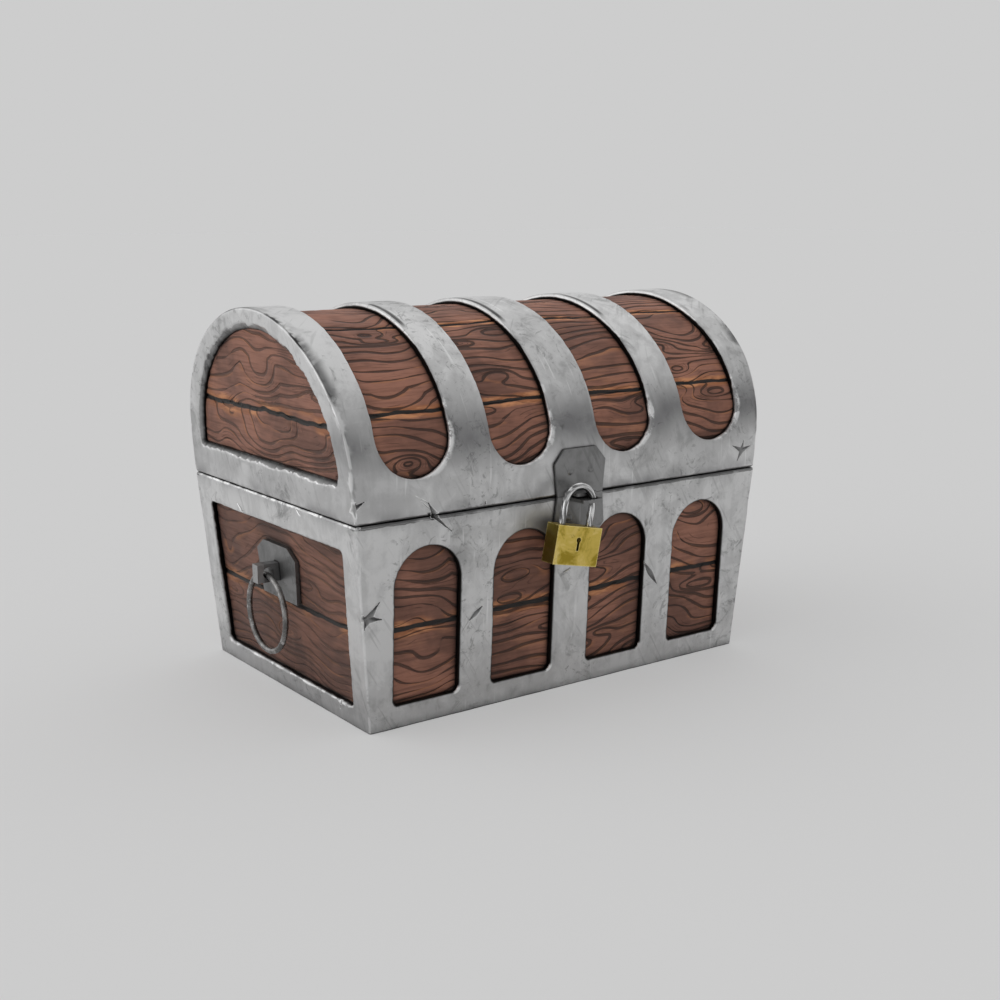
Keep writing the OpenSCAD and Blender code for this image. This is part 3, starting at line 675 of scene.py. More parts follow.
def lid_steel(material):
    shell = Shell()
    s = np.linspace(SEAM_R, 2 * S_TOP - SEAM_R, N_ARCH)
    low_part = 1 - smooth(90 * MM, 190 * MM, np.minimum(s, 2 * S_TOP - s))
    round_off = LID_EDGE_R * (1 + 0.9 * low_part)
    cy, cz, ny, nz = arch(s, -round_off)
    edge = half_length(cz) - round_off
    cloud = slit_cloud(LID_NICKS, lambda p: (p[0], p[2] - LID_FOOT))
    inner_s = np.concatenate([[0], s[1:-1], [2 * S_TOP]])
    iy, iz, _, _ = arch(inner_s, -STEEL)
    windows = [(lid_gap(*gap), GAP_RINGS, gap_edge(*gap)) for gap in LID_GAPS]
    inside = panel(half_length(iz) - STEEL, inner_s, N_FRONT)
    shell.face(arch_place, windows, 60, panel(edge, s, N_FRONT), inside, cloud, INNER_STEP)
    turn, foot = np.linspace(0, math.pi / 2, CORNER_STEPS), low_part[:, None]
    for sign in (-1, 1):
        dents = layered(columns(s * 26, 3.0 + sign, 0), 41, 3)[:, None]
        chips = layered(columns(s * 60, 8.0 + sign, 0), 43, 2)[:, None]
        across, up = round_off[:, None] * np.sin(turn), round_off[:, None] * np.cos(turn)
        y, z = cy[:, None] + up * ny[:, None], cz[:, None] + up * nz[:, None]
        rows = columns(sign * (edge[:, None] + across), y, z)
        # Along the lid's end edges: low down a bright slash, a painted highlight given as wear below zero,
        # with painted shade beside it; higher up painted shade along the crest; the rubbed chips are wear.
        dark = smooth(-0.25, 0.35, dents)
        rubbed = np.clip(1.4 * np.sin(turn) - 0.2, 0, 1) * smooth(-0.35, 0.1, chips) * (0.15 + 0.25 * foot)
        off, width = turn - 0.8 - 0.5 * dents, np.maximum(0.5 + 0.4 * chips, 0.16)
        slash = foot * smooth(-0.95, -0.45, chips) * np.exp(-(off / width) ** 4)
        beside = 0.3 * foot * dark * (1 - np.exp(-(off / (width + 0.1)) ** 4))
        crest = (0.35 + 0.4 * dark) * (1 - 0.9 * foot) * smooth(1.55, 0.9, turn) + 0.06 * (1 - foot)
        shell.strip(rows, rubbed * (1 - slash) - 1.4 * slash, crest + beside)
        outside = closed(cy, cz, SEAM_Y - round_off[0], LID_FOOT + SEAM_R) * [sign, 1]
        inside = closed(iy, iz, SEAM_Y - STEEL, LID_FOOT) * [sign, 1]
        windows = [(lid_end_window(), END_RINGS, lid_end_edge)]
        shell.face(lid_end_place(sign), windows, 80 + sign, outside, inside)
    brim(shell, LID_FOOT, -1, SEAM_R, half_length, lambda z: SEAM_Y, 0.3, round_off[0])
    piece = shell.build("lid_steel", material)
    forge(piece, LID_NICKS, LID_FOOT)
    return piece


# Boards
BOARD_STEP = 2.4 * MM
GRAIN_PITCH = 14.5 * MM
EYES = 32
# The hidden face of a board has a point at every eighth column, and at every sixth row where it is curved
HIDDEN_COLS, HIDDEN_ROWS = 8, 6


def joint_wave(u, seed, height):
    """How far a joint between boards strays from its straight line."""
    p = columns(u, seed * 0.37, 0)
    return height * (layered(p * [9, 1, 1], seed, 2) + 0.25 * lattice_noise(p * [70, 1, 1], seed + 3))


def grain_phase(u, v, seed, swirl):
    """A slowly warped ramp whose whole numbers are the grain's carved lines."""
    p = columns(u, v, seed * 1.7)
    warp = 1.5 * lattice_noise(p * [8, 15, 1], seed) + 0.55 * lattice_noise(p * [20, 30, 1], seed + 7)
    knot = lattice_noise(p * [9, 16, 1], seed + 13)
    phase = v / GRAIN_PITCH + swirl * (warp + 1.6 * np.maximum(knot - 0.25, 0))
    draw = np.random.default_rng(seed)
    for _ in range(EYES):
        u0, v0 = draw.uniform(-0.3, 0.3), draw.uniform(0, 0.55)
        long, high = draw.uniform(19, 34) * MM, draw.uniform(5.5, 10) * MM
        height = draw.choice((-1, 1)) * draw.uniform(1.4, 2.3)
        phase += height * np.exp(-((u - u0) / long) ** 2 - ((v - v0) / high) ** 2)
    return phase


def grain(u, v, seed, swirl):
    """The phase and how fast it changes, per millimetre."""
    e = 0.2 * MM
    phase = grain_phase(u, v, seed, swirl)
    du, dv = grain_phase(u + e, v, seed, swirl) - phase, grain_phase(u, v + e, seed, swirl) - phase
    return phase, np.hypot(du, dv) / (e / MM)


def side_faces(fine, hidden, stops, flip):
    """The faces between one fine edge of a board and the coarse edge that is hidden behind it."""
    fine, hidden = fine.tolist(), hidden.tolist()
    faces = [hidden[k:k + 2] + fine[a:b + 1][::-1] for k, (a, b) in enumerate(zip(stops, stops[1:]))]
    return [face[::-1] for face in faces] if flip else faces


def board(name, material, place, v0, v1, half, seed, low, high, wave=3 * MM, curved=False, swirl=1.0,
          tone=1.0, narrow=1.0):
    """A closed board with carved grain. half(v) is half of its length.

    low and high are the seeds of its joints; narrow is how much narrower than usual they are."""
    span = v1 - v0
    near = np.array([0.8, 1.8, 3.0]) * MM
    rows = np.linspace(v0, v1, max(3, int(span / BOARD_STEP)))
    rows = np.unique(np.concatenate([rows, v0 + near if low else [], v1 - near if high else []]))
    down, across = len(rows), max(9, int(2 * max(half(v0), half(v1)) / BOARD_STEP))
    across += -(across - 1) % HIDDEN_COLS
    v, q = (a.ravel() for a in np.meshgrid(rows, np.linspace(-1, 1, across), indexing="ij"))
    u = q * half(v)
    share = (v - v0) / span
    moved, gap = v.copy(), np.full(len(v), 1.0)
    if low:
        moved += joint_wave(u, low, wave) * (1 - share) ** 2
        gap = np.minimum(gap, v - v0)
    if high:
        moved += joint_wave(u, high, wave) * share ** 2
        gap = np.minimum(gap, v1 - v)
    gap *= narrow
    phase, slope = grain(u, moved, seed, swirl)
    line = 0.5 + 0.5 * np.cos(2 * math.pi * phase)
    relief = -0.55 * MM * line ** 3 + 0.35 * MM * layered(columns(u * 14, moved * 30, seed), seed)
    relief -= 3.0 * MM * (1 - smooth(0.5 * MM, 4.5 * MM, gap)) / narrow
    outer = place(u, moved, -STEEL - 0.4 * MM + np.minimum(relief, 0.3 * MM))
    cs = list(range(0, across, HIDDEN_COLS))
    rs = sorted({*range(0, down, HIDDEN_ROWS if curved else down), down - 1})
    grid = np.arange(down * across).reshape(down, across)
    pick = grid[np.ix_(rs, cs)].ravel()
    under = (down * across + np.arange(len(pick))).reshape(len(rs), len(cs))
    faces = quads(grid) + quads(under, True)
    faces += side_faces(grid[0], under[0], cs, False) + side_faces(grid[-1], under[-1], cs, True)
    faces += side_faces(grid[:, 0], under[:, 0], rs, True) + side_faces(grid[:, -1], under[:, -1], rs, False)
    mesh = bpy.data.meshes.new(name)
    mesh.from_pydata(np.vstack([outer, place(u[pick], moved[pick], -LINING)]).tolist(), [], faces)
    every = np.concatenate([np.arange(down * across), pick])
    for label, values in (("phase", phase), ("slope", slope), ("joint", gap / MM),
                          ("tone", np.full(len(u), tone)), ("along", columns(u, moved, seed * 0.31))):
        write(mesh, label, values[every])
    piece = finished(name, mesh, material)
    piece.modifiers.new("corners", "EDGE_SPLIT").split_angle = math.radians(50)
    return piece


def lid_end_half(z):
    """Half of an end board's length at a height, under the arch's boards."""
    y, height, _, _ = arch(np.linspace(0, S_TOP, 400), -LINING)
    return np.maximum(np.interp(z, height, -y), 1 * MM)


def stave_half(s):
    return half_length(arch(s, -STEEL)[1]) - STEEL


def station_length(k):
    """Length along the arch at a station of the part's outline."""
    if k > 17:
        return 2 * S_TOP - station_length(34 - k)
    n = k - 1
    if n <= 8:
        return S_SPRING + SHOULDER * TURN * n / 8
    return S_CROWN + (S_TOP - S_CROWN) * (n - 8) / 8


def boards(material):
    """Every board, with the node that it replaces and its body."""
    made = []

    def lay(name, node, body, *where, **looks):
        made.append((board(name, material, *where, **looks), node, body))

    # Boards of lower tone are pulled towards dark as painted shade: most on the box's ends, then on the lid's
    # ends, a little on the box's front and back.
    for side, name in enumerate(("front", "right", "back", "left")):
        long_side = side % 2 == 0
        half = (lambda z: half_length(z) - STEEL) if long_side else (lambda z: half_depth(z) - LINING)
        place, joint, looks = side_place(side), 5 + side, {"swirl": 1.3, "tone": 0.9 if long_side else 0.48}
        lay(f"{name}_board_lower", f"{name}_plank_lower", "base",
            place, 0, BOX_JOINT, half, 3 + 2 * side, None, joint, **looks)
        lay(f"{name}_board_upper", f"{name}_plank_upper", "base",
            place, BOX_JOINT, SEAM, half, 4 + 2 * side, joint, None, **looks)
    top = float(arch(S_TOP, -LINING)[1])
    looks = {"wave": 6 * MM, "swirl": 1.6, "tone": 0.74}
    for sign, name in ((-1, "left"), (1, "right")):
        place, joint = lid_end_place(sign), 33 + sign
        lay(f"lid_{name}_end_lower", f"lid_{name}_board_lower", "lid",
            place, LID_FOOT, LID_END_JOINT, lid_end_half, 31 + sign, None, joint, **looks)
        lay(f"lid_{name}_end_upper", f"lid_{name}_board_upper", "lid",
            place, LID_END_JOINT, top, lid_end_half, 36 + sign, joint, None, **looks)
    cuts = [0] + [station_length(k) for k in STAVE_CUTS] + [2 * S_TOP]
    for k, name in enumerate(("front", "front_upper", "top", "back_upper", "back")):
        lay(f"lid_board_{name}", f"lid_stave_{name}", "lid", arch_place, cuts[k], cuts[k + 1], stave_half,
            50 + k, 60 + k if k else None, 61 + k if k < 4 else None, wave=4 * MM, curved=True, narrow=1.3)
    return made


# Materials
class Nodes:
    """Short calls for the nodes of one tree. A socket given as a value is linked."""

    def __init__(self, tree):
        self.tree = tree

    def put(self, socket, value):
        if isinstance(value, bpy.types.NodeSocket):
            self.tree.links.new(value, socket)
        else:
            socket.default_value = value

    def node(self, kind, values=None, **settings):
        node = self.tree.nodes.new("ShaderNode" + kind)
        for key, value in settings.items():
            setattr(node, key, value)
        for key, value in (values or {}).items():
            self.put(node.inputs[key], value)
        return node

    def coordinates(self):
        return self.node("TexCoord").outputs["Object"]

    def attribute(self, name, output="Fac"):
        return self.node("Attribute", attribute_name=name).outputs[output]

    def parts(self, vector):
        return self.node("SeparateXYZ", {0: vector}).outputs

    def vectors(self, operation, a, b, output=0):
        return self.node("VectorMath", {0: a, 1: b}, operation=operation).outputs[output]

    def maths(self, operation, *values):
        return self.node("Math", dict(enumerate(values)), operation=operation).outputs[0]

    def times(self, first, *others):
        for value in others:
            first = self.maths("MULTIPLY", first, value)
        return first

    def plus(self, a, b):
        return self.maths("ADD", a, b)

    def minus(self, a, b):
        return self.maths("SUBTRACT", a, b)

    def size(self, value):
        return self.maths("ABSOLUTE", value)

    def stretched(self, vector, scale, turn=(0, 0, 0)):
        return self.node("Mapping", {"Vector": vector, "Scale": scale, "Rotation": turn}).outputs["Vector"]

    def noise(self, vector, scale, detail=4, roughness=0.55, distortion=0):
        """Noise of one scale, or of a scale for each direction."""
        if isinstance(scale, tuple):
            vector, scale = self.stretched(vector, scale), 1
        return self.node("TexNoise", {"Vector": vector, "Scale": scale, "Detail": detail,
                                      "Roughness": roughness, "Distortion": distortion}).outputs["Fac"]

    def step(self, value, low, high, out_low=0.0, out_high=1.0):
        return self.node("MapRange", {"Value": value, "From Min": low, "From Max": high, "To Min": out_low,
                                      "To Max": out_high}, interpolation_type="SMOOTHSTEP").outputs["Result"]

    def band(self, value, low, low_full, high_full, high):
        """1 between the two middle values, falling to 0 at the outer ones."""
        return self.times(self.step(value, low, low_full), self.step(value, high_full, high, 1, 0))

    def patch(self, vector, scale, low, high, *shape):
        """Where noise is above a level, with a soft edge."""
        return self.step(self.noise(vector, scale, *shape), low, high)

    def shaken(self, value, noise, reach):
        """A value moved to and fro by noise."""
        return self.plus(value, self.times(self.minus(noise, 0.5), reach))

    def mix(self, factor, a, b):
        node = self.node("Mix", {0: factor, 6: a, 7: b}, data_type="RGBA")
        return node.outputs[2]

    def bump(self, height, strength, distance, before=None):
        values = {"Height": height, "Strength": strength, "Distance": distance}
        if before is not None:
            values["Normal"] = before
        return self.node("Bump", values).outputs["Normal"]

    def crevice(self, distance, low, high, most=1.0):
        """Nothing in the open, rising to the most in corners."""
        open_air = self.node("AmbientOcclusion", {"Distance": distance}, samples=8).outputs["AO"]
        return self.step(open_air, low, high, most, 0)


class Surface(Nodes):
    """A material, coloured coat by coat."""

    def __init__(self, name):
        self.material = bpy.data.materials.new(name)
        self.material.use_nodes = True
        super().__init__(self.material.node_tree)
        self.shader = self.tree.nodes["Principled BSDF"]
        self.colour = None

    def coat(self, paint, *covers):
        """Lays a paint over the colour, as far as the product of its covers says."""
        self.colour = self.mix(self.times(*covers), self.colour, paint)

    def finish(self, roughness, metallic, normal=None):
        values = {"Base Color": self.colour, "Roughness": roughness, "Metallic": metallic}
        if normal is not None:
            values["Normal"] = normal
        for key, value in values.items():
            self.put(self.shader.inputs[key], value)
        return self.material


def paint(red, green, blue):
    return (red, green, blue, 1)


def grey(value, warm=0.0):
    return paint(value * (1 + warm), value, value * (1 - warm))


BLACK, BARE, PAINTED_SHADE_GREY = grey(0.006), grey(0.95), paint(0.08, 0.078, 0.085)
WOOD, WOOD_LIGHT, WOOD_WORN = paint(0.22, 0.105, 0.076), paint(0.44, 0.203, 0.139), paint(0.55, 0.25, 0.145)
FIBRE, GRAIN, THIN_GRAIN = paint(0.095, 0.048, 0.038), paint(0.045, 0.029, 0.024), paint(0.06, 0.034, 0.028)
GRAIN_HIGHLIGHT = paint(0.52, 0.22, 0.105)
JOINT_HIGHLIGHT, JOINT_HIGHLIGHT_BRIGHT = paint(0.44, 0.175, 0.08), paint(0.78, 0.35, 0.165)
CORNER_SHADE, CUT, TIGHT_SHADE = paint(0.01, 0.008, 0.007), paint(0.046, 0.042, 0.04), paint(0.006, 0.005, 0.005)
BOARD_SHADE, FLOOR_DARK = paint(0.03, 0.027, 0.026), paint(0.11, 0.058, 0.043)
FLOOR_LIGHT, FLOOR_FIBRE = paint(0.19, 0.105, 0.075), paint(0.06, 0.033, 0.026)
BRASS_DARK, BRASS, BRASS_LIGHT = paint(0.40, 0.29, 0.03), paint(0.68, 0.51, 0.11), paint(0.79, 0.61, 0.2)
BRASS_STAIN, BRASS_LINE = paint(0.2, 0.14, 0.01), paint(0.85, 0.72, 0.35)
BRASS_DIRT_AND_SHADE, BRASS_SIDE_SHADE, BRASS_RUB = paint(0.05, 0.038, 0.01), paint(0.08, 0.06, 0.005), paint(1.0, 0.84, 0.33)


def scratches(m, vector, scale, threshold=0.66):
    """Thin straight scratches in three directions, gathered in patches."""
    total = None
    for turn, seed in ((0.5, 0.0), (-0.7, 3.1), (1.4, 7.7)):
        moved = m.vectors("ADD", vector, (seed, seed, seed))
        long_way = m.stretched(moved, (scale, scale * 0.05, scale * 0.05), (turn, turn * 0.7, turn))
        line = m.patch(long_way, 1, threshold, threshold + 0.05, 2, 0.4)
        line = m.times(line, m.patch(moved, 11, 0.5, 0.66, 2))
        total = line if total is None else m.maths("MAXIMUM", total, line)
    return total


def carved_marks(m, at, smudge):
    """What the frames' relief carries: painted shade, a band of painted shade beside the crest, rubbed edges,
    a painted highlight, and black painted shade in the reveals and rims.
    """
    x, _, z = m.parts(at)
    wear = m.attribute("wear")
    # Painted shade from the steel's map, heavier where smudged.
    m.coat(PAINTED_SHADE_GREY, m.attribute("painted_shade"), m.step(smudge, 0.25, 0.6, 0.6, 1), 0.8)
    # Painted shade: a dark band on the lid's bands just in from its ends, above the spring.
    inward = m.minus(m.maths("MULTIPLY_ADD", z, END_LEAN, SEAM_X - END_LEAN * SEAM), m.size(x))
    m.coat(grey(0.06), m.band(inward, 0.3 * MM, 1.5 * MM, 4 * MM, 17 * MM),
           m.step(z, SPRING, SPRING + 60 * MM), m.patch(at, 13, 0.44, 0.58, 5, 0.6, 0.5), 0.75)
    m.coat(BARE, m.step(wear, 0.1, 0.75), m.patch(at, 60, 0.42, 0.54, 5, 0.65), 0.9)
    # Below zero the wear attribute asks for a pale painted highlight, a painted sheen.
    m.coat(grey(0.85), m.step(wear, -1.0, 0.0, 0.75, 0.0))
    # Black painted shade from the shade attribute.
    m.coat(BLACK, m.step(m.attribute("shade"), 0.05, 0.9, 0, 0.98))


def seam_marks(m, at):
    """Dark broken lines along the seam on the front and back, and the crack through it."""
    x, y, z = m.parts(at)
    below = m.shaken(m.minus(SEAM, z), m.noise(at, 70), 4 * MM)
    flat = m.step(m.size(y), SEAM_Y - 12 * MM, SEAM_Y - 8 * MM)
    broken = m.times(flat, m.patch(at, 31, 0.3, 0.46, 3))
    m.coat(grey(0.1), m.band(below, 0.4 * MM, 0.8 * MM, 3.4 * MM, 4.2 * MM), broken, 0.6)
    m.coat(grey(0.03), m.band(below, 3.0 * MM, 3.7 * MM, 3.9 * MM, 4.7 * MM), broken, 0.6)
    m.coat(grey(0.06), m.band(below, -3.6 * MM, -2.4 * MM, -1.0 * MM, -0.6 * MM),
           m.patch(at, 24, 0.38, 0.52, 3), flat, 0.6)
    height = m.minus(z, SEAM)
    across = m.size(m.maths("MULTIPLY_ADD", height, CRACK_LEAN, m.minus(x, CRACK_X)))
    m.coat(BLACK, m.step(across, 2.6 * MM, 4.6 * MM, 1, 0), m.step(m.size(height), 3 * MM, 5.5 * MM, 1, 0),
           m.step(y, -SEAM_Y + 12 * MM, -SEAM_Y + 8 * MM))


def nick_marks(m):
    """Nicks are darkened with painted shade, with a bright burr round them: bare metal with a painted
    highlight.
    """
    nick = m.attribute("nick")
    m.coat(BARE, m.step(nick, 0.0, 0.1), m.step(nick, 0.15, 0.4, 0.7, 0))
    m.coat(grey(0.05), m.step(nick, 0.3, 1.0, 0, 0.55))


def worn_steel(name, dark, middle, light, carved=False, paler_beyond=None):
    """Steel that is clouded, brushed, smudged and scratched, with dirt and painted shade in its corners."""
    m = Surface(name)
    at = m.coordinates()
    smudge = m.noise(at, 34, 6, 0.65, 0.6)
    brush = m.noise(at, (75, 75, 8), 3, 0.6)
    tone = m.plus(m.times(m.noise(at, 6, 4, 0.55, 0.3), 0.45), m.times(smudge, 0.43))
    tone = m.plus(tone, m.times(brush, 0.17))
    m.colour = m.mix(m.step(tone, 0.4, 0.5), grey(dark), grey(middle))
    m.coat(grey(light), m.step(tone, 0.5, 0.6))
    m.coat(grey(dark * 0.35), m.patch(at, 21, 0.55, 0.7, 7, 0.72, 1.4), m.patch(at, 5, 0.44, 0.6, 3), 0.75)
    if paler_beyond:
        m.coat(grey(0.6), m.step(m.size(m.parts(at)["X"]), paler_beyond, paler_beyond + 1 * MM, 0, 0.4))
    m.coat(grey(dark * 0.4), m.patch(at, 42, 0.55, 0.62, 6, 0.78, 2.0), m.patch(at, 9, 0.44, 0.58, 2), 0.52)
    lines = scratches(m, at, 190)
    m.coat(grey(min(light * 1.35, 0.95)), lines, 0.5)
    m.coat(grey(dark * 0.4), scratches(m, m.stretched(at, (1, 1, 1), (0.3, 0.2, 0.9)), 260, 0.62), 0.25)
    # Dirt and painted shade in corners, patchy where smudged, and black painted shade in tight corners.
    m.coat(grey(0.05), m.crevice(14 * MM, 0.5, 0.97), m.step(smudge, 0.35, 0.6, 0.25, 1), 0.5)
    m.coat(grey(0.012), m.crevice(3 * MM, 0.45, 0.9), 0.85)
    if carved:
        carved_marks(m, at, smudge)
        seam_marks(m, at)
        nick_marks(m)
    normal = m.bump(brush, 0.12, 0.5 * MM, m.bump(smudge, 0.2, 1 * MM))
    normal = m.bump(m.noise(at, 260, 3, 0.6), 0.1, 0.3 * MM, normal)
    normal = m.bump(lines, -0.3, 0.25 * MM, normal)
    return m.finish(m.step(tone, 0.38, 0.62, 0.52, 0.36), 0.8, normal)


def carved_wood(name):
    """Dark boards: carved grain lines, a painted orange highlight beside them and at the joints, rubbed
    patches, dark joints, and painted shade in corners and on boards of lower tone.
    """
    m = Surface(name)
    at = m.attribute("along", "Vector")
    phase, joint, slope = m.attribute("phase"), m.attribute("joint"), m.attribute("slope")
    tone = m.attribute("tone")
    fibre = m.noise(at, (14, 230, 1), 4, 0.65)
    ragged = m.noise(at, (45, 120, 1), 3, 0.6)
    m.colour = m.mix(m.patch(at, 10, 0.35, 0.65, 4, 0.6, 0.3), WOOD, WOOD_LIGHT)
    m.coat(WOOD_WORN, m.patch(at, (9, 26, 1), 0.54, 0.72, 4, 0.65), 0.55)
    m.coat(FIBRE, m.step(fibre, 0.4, 0.75, 0, 0.5))
    # The carved lines: how far a point is from one, over the line's own half width
    distance = m.maths("DIVIDE", m.maths("PINGPONG", phase, 0.5), m.maths("MAXIMUM", slope, 0.012))
    thick = m.noise(at, (10, 34, 1), 2, 0.5)
    line = m.maths("DIVIDE", m.shaken(distance, ragged, 1.1), m.step(thick, 0.3, 0.63, 0.4, 2.4))
    line = m.times(m.step(line, 0.6, 1.1, 1, 0), m.step(thick, 0.28, 0.42), m.step(slope, 0.012, 0.026),
                   m.step(tone, 0.6, 0.95, 0.6, 1.0))
    thin = m.maths("DIVIDE", m.maths("PINGPONG", m.times(phase, 3.0), 0.5), m.maths("MAXIMUM", slope, 0.02))
    thin = m.times(m.step(thin, 0.5, 1.6, 1, 0), m.patch(at, (20, 60, 1), 0.54, 0.62, 2))
    # A painted orange highlight on one side of each carved line, in patches.
    beside = m.band(m.maths("FRACT", m.plus(phase, 0.5)), 0.2, 0.46, 0.46, 0.5)
    m.coat(GRAIN_HIGHLIGHT, beside, m.patch(at, (15, 42, 1), 0.46, 0.6, 3, 0.6), 0.75)
    # Painted orange highlight on the boards' edges beside the joints, in patches
    near = m.shaken(joint, m.noise(at, (60, 260, 1), 3, 0.6), 9.0)
    joint_highlight = m.mix(m.patch(at, (30, 90, 1), 0.42, 0.62, 3), JOINT_HIGHLIGHT, JOINT_HIGHLIGHT_BRIGHT)
    m.coat(joint_highlight, m.step(near, 6.0, 12.5, 1, 0), m.patch(at, (13, 13, 1), 0.38, 0.53, 2), 0.88)
    m.coat(THIN_GRAIN, thin, 0.5)
    # Painted shade in corners and beside the steel.
    m.coat(CORNER_SHADE, m.crevice(10 * MM, 0.3, 0.97, 0.85))
    m.coat(GRAIN, line, 0.8)
    m.coat(CUT, m.step(m.shaken(joint, ragged, 4.0), 2.5, 3.3, 1, 0))
    # Black painted shade in tight corners.
    m.coat(TIGHT_SHADE, m.crevice(4 * MM, 0.35, 0.8, 0.95))
    # Painted shade: boards of lower tone are pulled towards a dark colour.
    m.coat(BOARD_SHADE, m.minus(1.0, tone))
    height = m.minus(m.times(fibre, 0.2), m.plus(line, m.times(thin, 0.3)))
    m.shader.inputs["Specular IOR Level"].default_value = 0.25
    return m.finish(m.step(fibre, 0.3, 0.7, 0.55, 0.7), 0.0, m.bump(height, 0.9, 1.6 * MM))


def bare_wood(name):
    m = Surface(name)
    at = m.coordinates()
    fibre = m.noise(at, (12, 300, 300), 4, 0.6)
    m.colour = m.mix(m.patch(at, (5, 60, 60), 0.35, 0.65, 5, 0.6, 1.5), FLOOR_DARK, FLOOR_LIGHT)
    m.coat(FLOOR_FIBRE, m.step(fibre, 0.4, 0.7, 0, 0.6))
    return m.finish(m.step(fibre, 0.3, 0.7, 0.6, 0.75), 0.0, m.bump(fibre, 0.4, 0.5 * MM))


def brass(name):
    """Clouded and scratched brass with dirt and painted shade in its corners, painted shade on the sides that
    face left and right, and bright edges.
    """
    m = Surface(name)
    at = m.coordinates()
    cloud = m.noise(at, 30, 5, 0.62, 0.8)
    lines = scratches(m, at, 420, 0.62)
    m.colour = m.mix(m.step(cloud, 0.38, 0.52), BRASS_DARK, BRASS)
    m.coat(BRASS_LIGHT, m.step(cloud, 0.52, 0.66))
    m.coat(BRASS_STAIN, m.patch(at, 52, 0.58, 0.68, 6, 0.7, 1.5), 0.5)
    m.coat(BRASS_LINE, lines, 0.5)
    # Dirt and painted shade in the corners.
    m.coat(BRASS_DIRT_AND_SHADE, m.crevice(4 * MM, 0.5, 1.0), 0.8)
    # Painted shade on the sides that face left and right.
    sideways = m.size(m.parts(m.node("TexCoord").outputs["Normal"])["X"])
    m.coat(BRASS_SIDE_SHADE, m.step(sideways, 0.6, 0.95, 0, 0.76))
    edge = m.node("Bevel", {"Radius": 2.2 * MM}, samples=4).outputs[0]
    turn = m.vectors("DOT_PRODUCT", edge, m.node("NewGeometry").outputs["Normal"], "Value")
    m.coat(BRASS_RUB, m.step(turn, 0.93, 0.995, 1, 0), m.patch(at, 150, 0.34, 0.46), 0.9)
    normal = m.bump(lines, -0.3, 0.1 * MM, m.bump(cloud, 0.15, 0.5 * MM))
    return m.finish(m.step(cloud, 0.3, 0.7, 0.45, 0.32), 0.9, normal)


def polished(name, centre):
    """Polished bar bent in an upright plane, with long dark and bright streaks that follow it: a painted
    reflection. Painted shade lies in its corners.
    """
    m = Surface(name)
    at = m.vectors("SUBTRACT", m.coordinates(), centre)
    x, y, z = m.parts(at)
    across = m.node("CombineXYZ", {"X": x, "Y": 0.0, "Z": m.maths("MAXIMUM", z, 0.0)}).outputs[0]
    radius = m.node("VectorMath", {0: across}, operation="LENGTH").outputs["Value"]
    lane = m.node("CombineXYZ", {"X": m.times(radius, 420.0), "Y": m.times(y, 420.0), "Z": m.times(z, 24.0)})
    # The streaks are a painted reflection; they also set the roughness and the bumps.
    streak = m.noise(lane.outputs[0], 1, 2, 0.5)
    m.colour = m.mix(m.step(streak, 0.4, 0.6), grey(0.16), grey(0.85))
    m.coat(grey(0.2), m.patch(at, 90, 0.55, 0.7, 4, 0.6), 0.6)
    m.coat(grey(0.02), m.crevice(3 * MM, 0.4, 0.9, 0.8))
    return m.finish(m.step(streak, 0.4, 0.6, 0.32, 0.14), 1.0, m.bump(streak, 0.2, 0.3 * MM))


def forged_iron(name):
    """Dark forged bar with bright specks, a painted highlight, and painted shade in its corners."""
    m = Surface(name)
    at = m.coordinates()
    cloud = m.noise(at, 55, 5, 0.65, 0.4)
    speck = m.noise(at, 190, 4, 0.7)
    m.colour = m.mix(m.step(cloud, 0.35, 0.65), grey(0.13, 0.03), grey(0.32, 0.02))
    # Bright specks: a painted highlight.
    m.coat(grey(0.75), m.step(speck, 0.54, 0.66), m.step(cloud, 0.38, 0.6), 0.85)
    m.coat(grey(0.01), m.crevice(5 * MM, 0.4, 0.95, 0.9))
    normal = m.bump(speck, 0.3, 0.4 * MM, m.bump(cloud, 0.35, 1.2 * MM))
    return m.finish(m.step(speck, 0.35, 0.65, 0.4, 0.2), 0.9, normal)


# The scene
# Steels, each with its dark, middle and light grey
steel = worn_steel("worn_steel", 0.45, 0.60, 0.71, carved=True)
hasp_steel = worn_steel("hasp_steel", 0.17, 0.22, 0.27)
PLATE_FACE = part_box("right_handle_plate")[1].x
handle_steel = worn_steel("handle_steel", 0.14, 0.2, 0.26, paler_beyond=PLATE_FACE - 9 * MM)
dark_iron = worn_steel("dark_iron", 0.07, 0.12, 0.2)
ring_iron = forged_iron("ring_iron")
wood = carved_wood("carved_wood")
floor_wood = bare_wood("floor_wood")
brass_metal = brass("lock_brass")
low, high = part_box("padlock_shackle")
bend = ((low.x + high.x) / 2, (low.y + high.y) / 2, high.z - (high.x - low.x) / 2)
bar_metal = polished("polished_bar", bend)

piece = box_steel(steel)
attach(piece, "base")
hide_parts("front_frame", "back_frame", "left_frame", "right_frame")
piece = lid_steel(steel)
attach(piece, "lid")
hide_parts("lid_left_frame", "lid_right_frame", "lid_front_rail", "lid_back_rail",
            "lid_band_left_end", "lid_band_left", "lid_band_middle", "lid_band_right", "lid_band_right_end")
for piece, node, body in boards(wood):
    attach(piece, body)
    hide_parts(node)

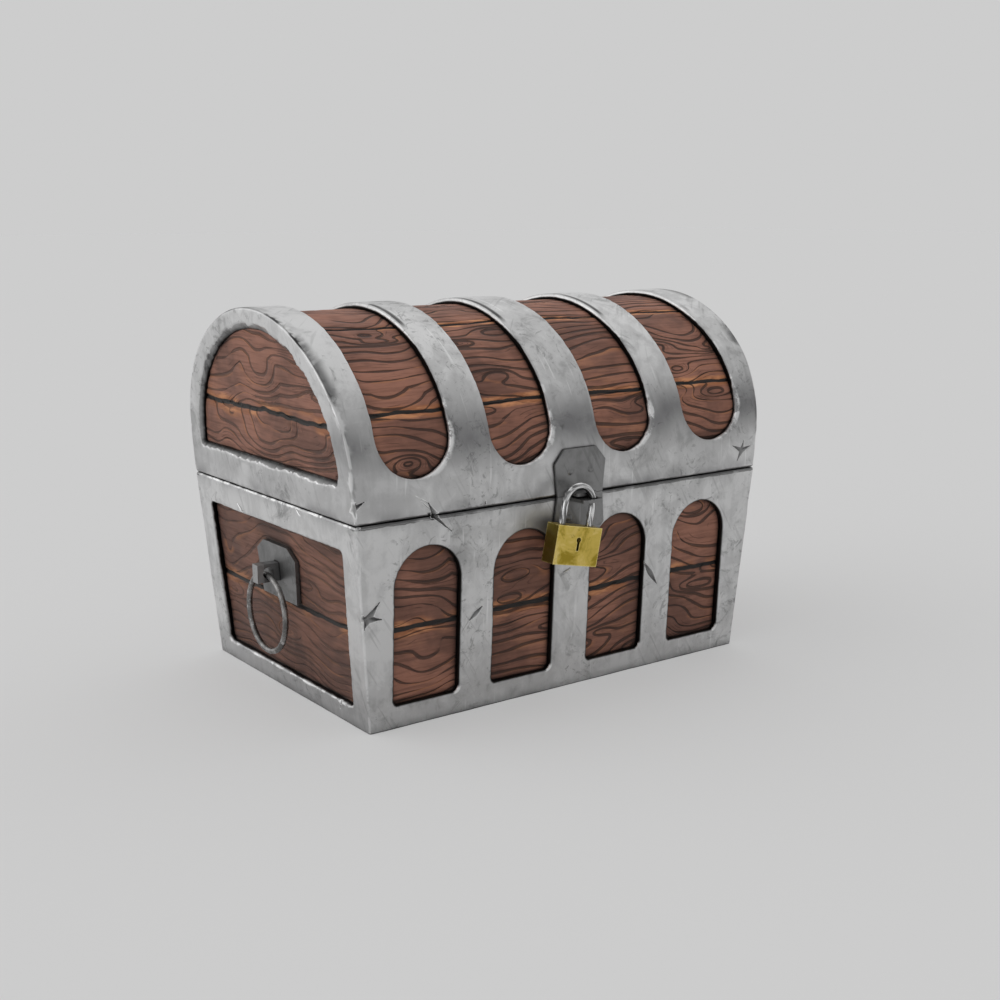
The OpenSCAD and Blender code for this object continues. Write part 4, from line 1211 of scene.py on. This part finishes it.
# The hardware keeps its solids: a material by the start of its name, and worn edges on what isn't round
BY_NODE = {
    "hasp": hasp_steel, "hinge": dark_iron, "left_handle": handle_steel, "right_handle": handle_steel,
    "padlock_body": brass_metal, "padlock_plug": brass_metal, "padlock_shackle": bar_metal,
    "floor": floor_wood,
}
EDGES = {"padlock_body": 1.5 * MM, "hasp_upper_plate": 0.7 * MM, "hasp_lower_plate": 0.7 * MM,
         "left_handle_plate": 0.9 * MM, "right_handle_plate": 0.9 * MM}
EDGE = 0.3 * MM
EDGE_ANGLE = math.radians(40)
for name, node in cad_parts.items():
    material = next((chosen for start, chosen in BY_NODE.items() if name.startswith(start)), None)
    if material is None:
        continue
    ring = name.endswith("_ring")
    node.data.materials.clear()
    node.data.materials.append(ring_iron if ring else material)
    node.data.shade_smooth()
    if not ring and name != "padlock_shackle":
        bevel = node.modifiers.new("edges", "BEVEL")
        bevel.width = EDGES.get(name, EDGE)
        bevel.segments = 3
        bevel.limit_method = "ANGLE"
        bevel.angle_limit = EDGE_ANGLE
        bevel.harden_normals = False

# Stage: a pale floor. To the camera alone it is half its own colour, which softens the shadow
BACKDROP = 0.61
FLOOR_SIZE = 60
pale = Surface("pale_floor")
pale.colour = grey(0.82)
pale.finish(1.0, 0.0)
pale.shader.inputs["Specular IOR Level"].default_value = 0.0
plain = pale.node("Emission", {"Color": grey(BACKDROP)})
share = pale.times(pale.node("LightPath").outputs["Is Camera Ray"], 0.5)
blend = pale.node("MixShader", {0: share, 1: pale.shader.outputs[0], 2: plain.outputs[0]})
pale.put(pale.tree.nodes["Material Output"].inputs["Surface"], blend.outputs[0])
bpy.ops.mesh.primitive_plane_add(size=FLOOR_SIZE)
floor = bpy.context.object
floor.name = "floor"
floor.data.materials.append(pale.material)

# A soft studio, brighter above, with soft panels: direction, where each begins, and level
STUDIO, ABOVE = 0.36, 0.27
PANELS = (((-0.8, 0.45, 0.1), 0.4, 1.12), ((0.75, 0.5, 0.2), 0.3, 0.35))
bpy.context.scene.world = bpy.data.worlds.new("studio")
bpy.context.scene.world.use_nodes = True
studio = Nodes(bpy.context.scene.world.node_tree)
toward = studio.node("TexCoord").outputs["Generated"]
light = studio.step(studio.parts(toward)["Z"], 0.25, 0.9, STUDIO, STUDIO + ABOVE)
for side, begins, level in PANELS:
    turn = studio.vectors("DOT_PRODUCT", toward, tuple(Vector(side).normalized()), "Value")
    light = studio.plus(light, studio.step(turn, begins, 1, 0, level))
seen = studio.node("LightPath").outputs["Is Camera Ray"]
shown = studio.plus(studio.times(studio.minus(1.0, seen), light), studio.times(seen, BACKDROP))
background = studio.tree.nodes["Background"]
background.inputs["Color"].default_value = grey(1)
studio.put(background.inputs["Strength"], shown)

# The photograph's camera: its place, how far it looks down, and its turn from straight ahead
CAMERA_AT = (-1.019476, -1.441259, 0.569198)
CAMERA_DOWN, CAMERA_TURN = 11.8475, -36.231
LENS, SENSOR, FAR = 50, 36, 200
camera_data = bpy.data.cameras.new("camera")
camera_data.lens, camera_data.sensor_width, camera_data.clip_end = LENS, SENSOR, FAR
camera = bpy.data.objects.new("camera", camera_data)
camera.location = CAMERA_AT
camera.rotation_euler = (math.radians(90 - CAMERA_DOWN), 0, math.radians(CAMERA_TURN))
bpy.context.scene.collection.objects.link(camera)
bpy.context.scene.camera = camera
bpy.context.scene.view_settings.view_transform = "Standard"
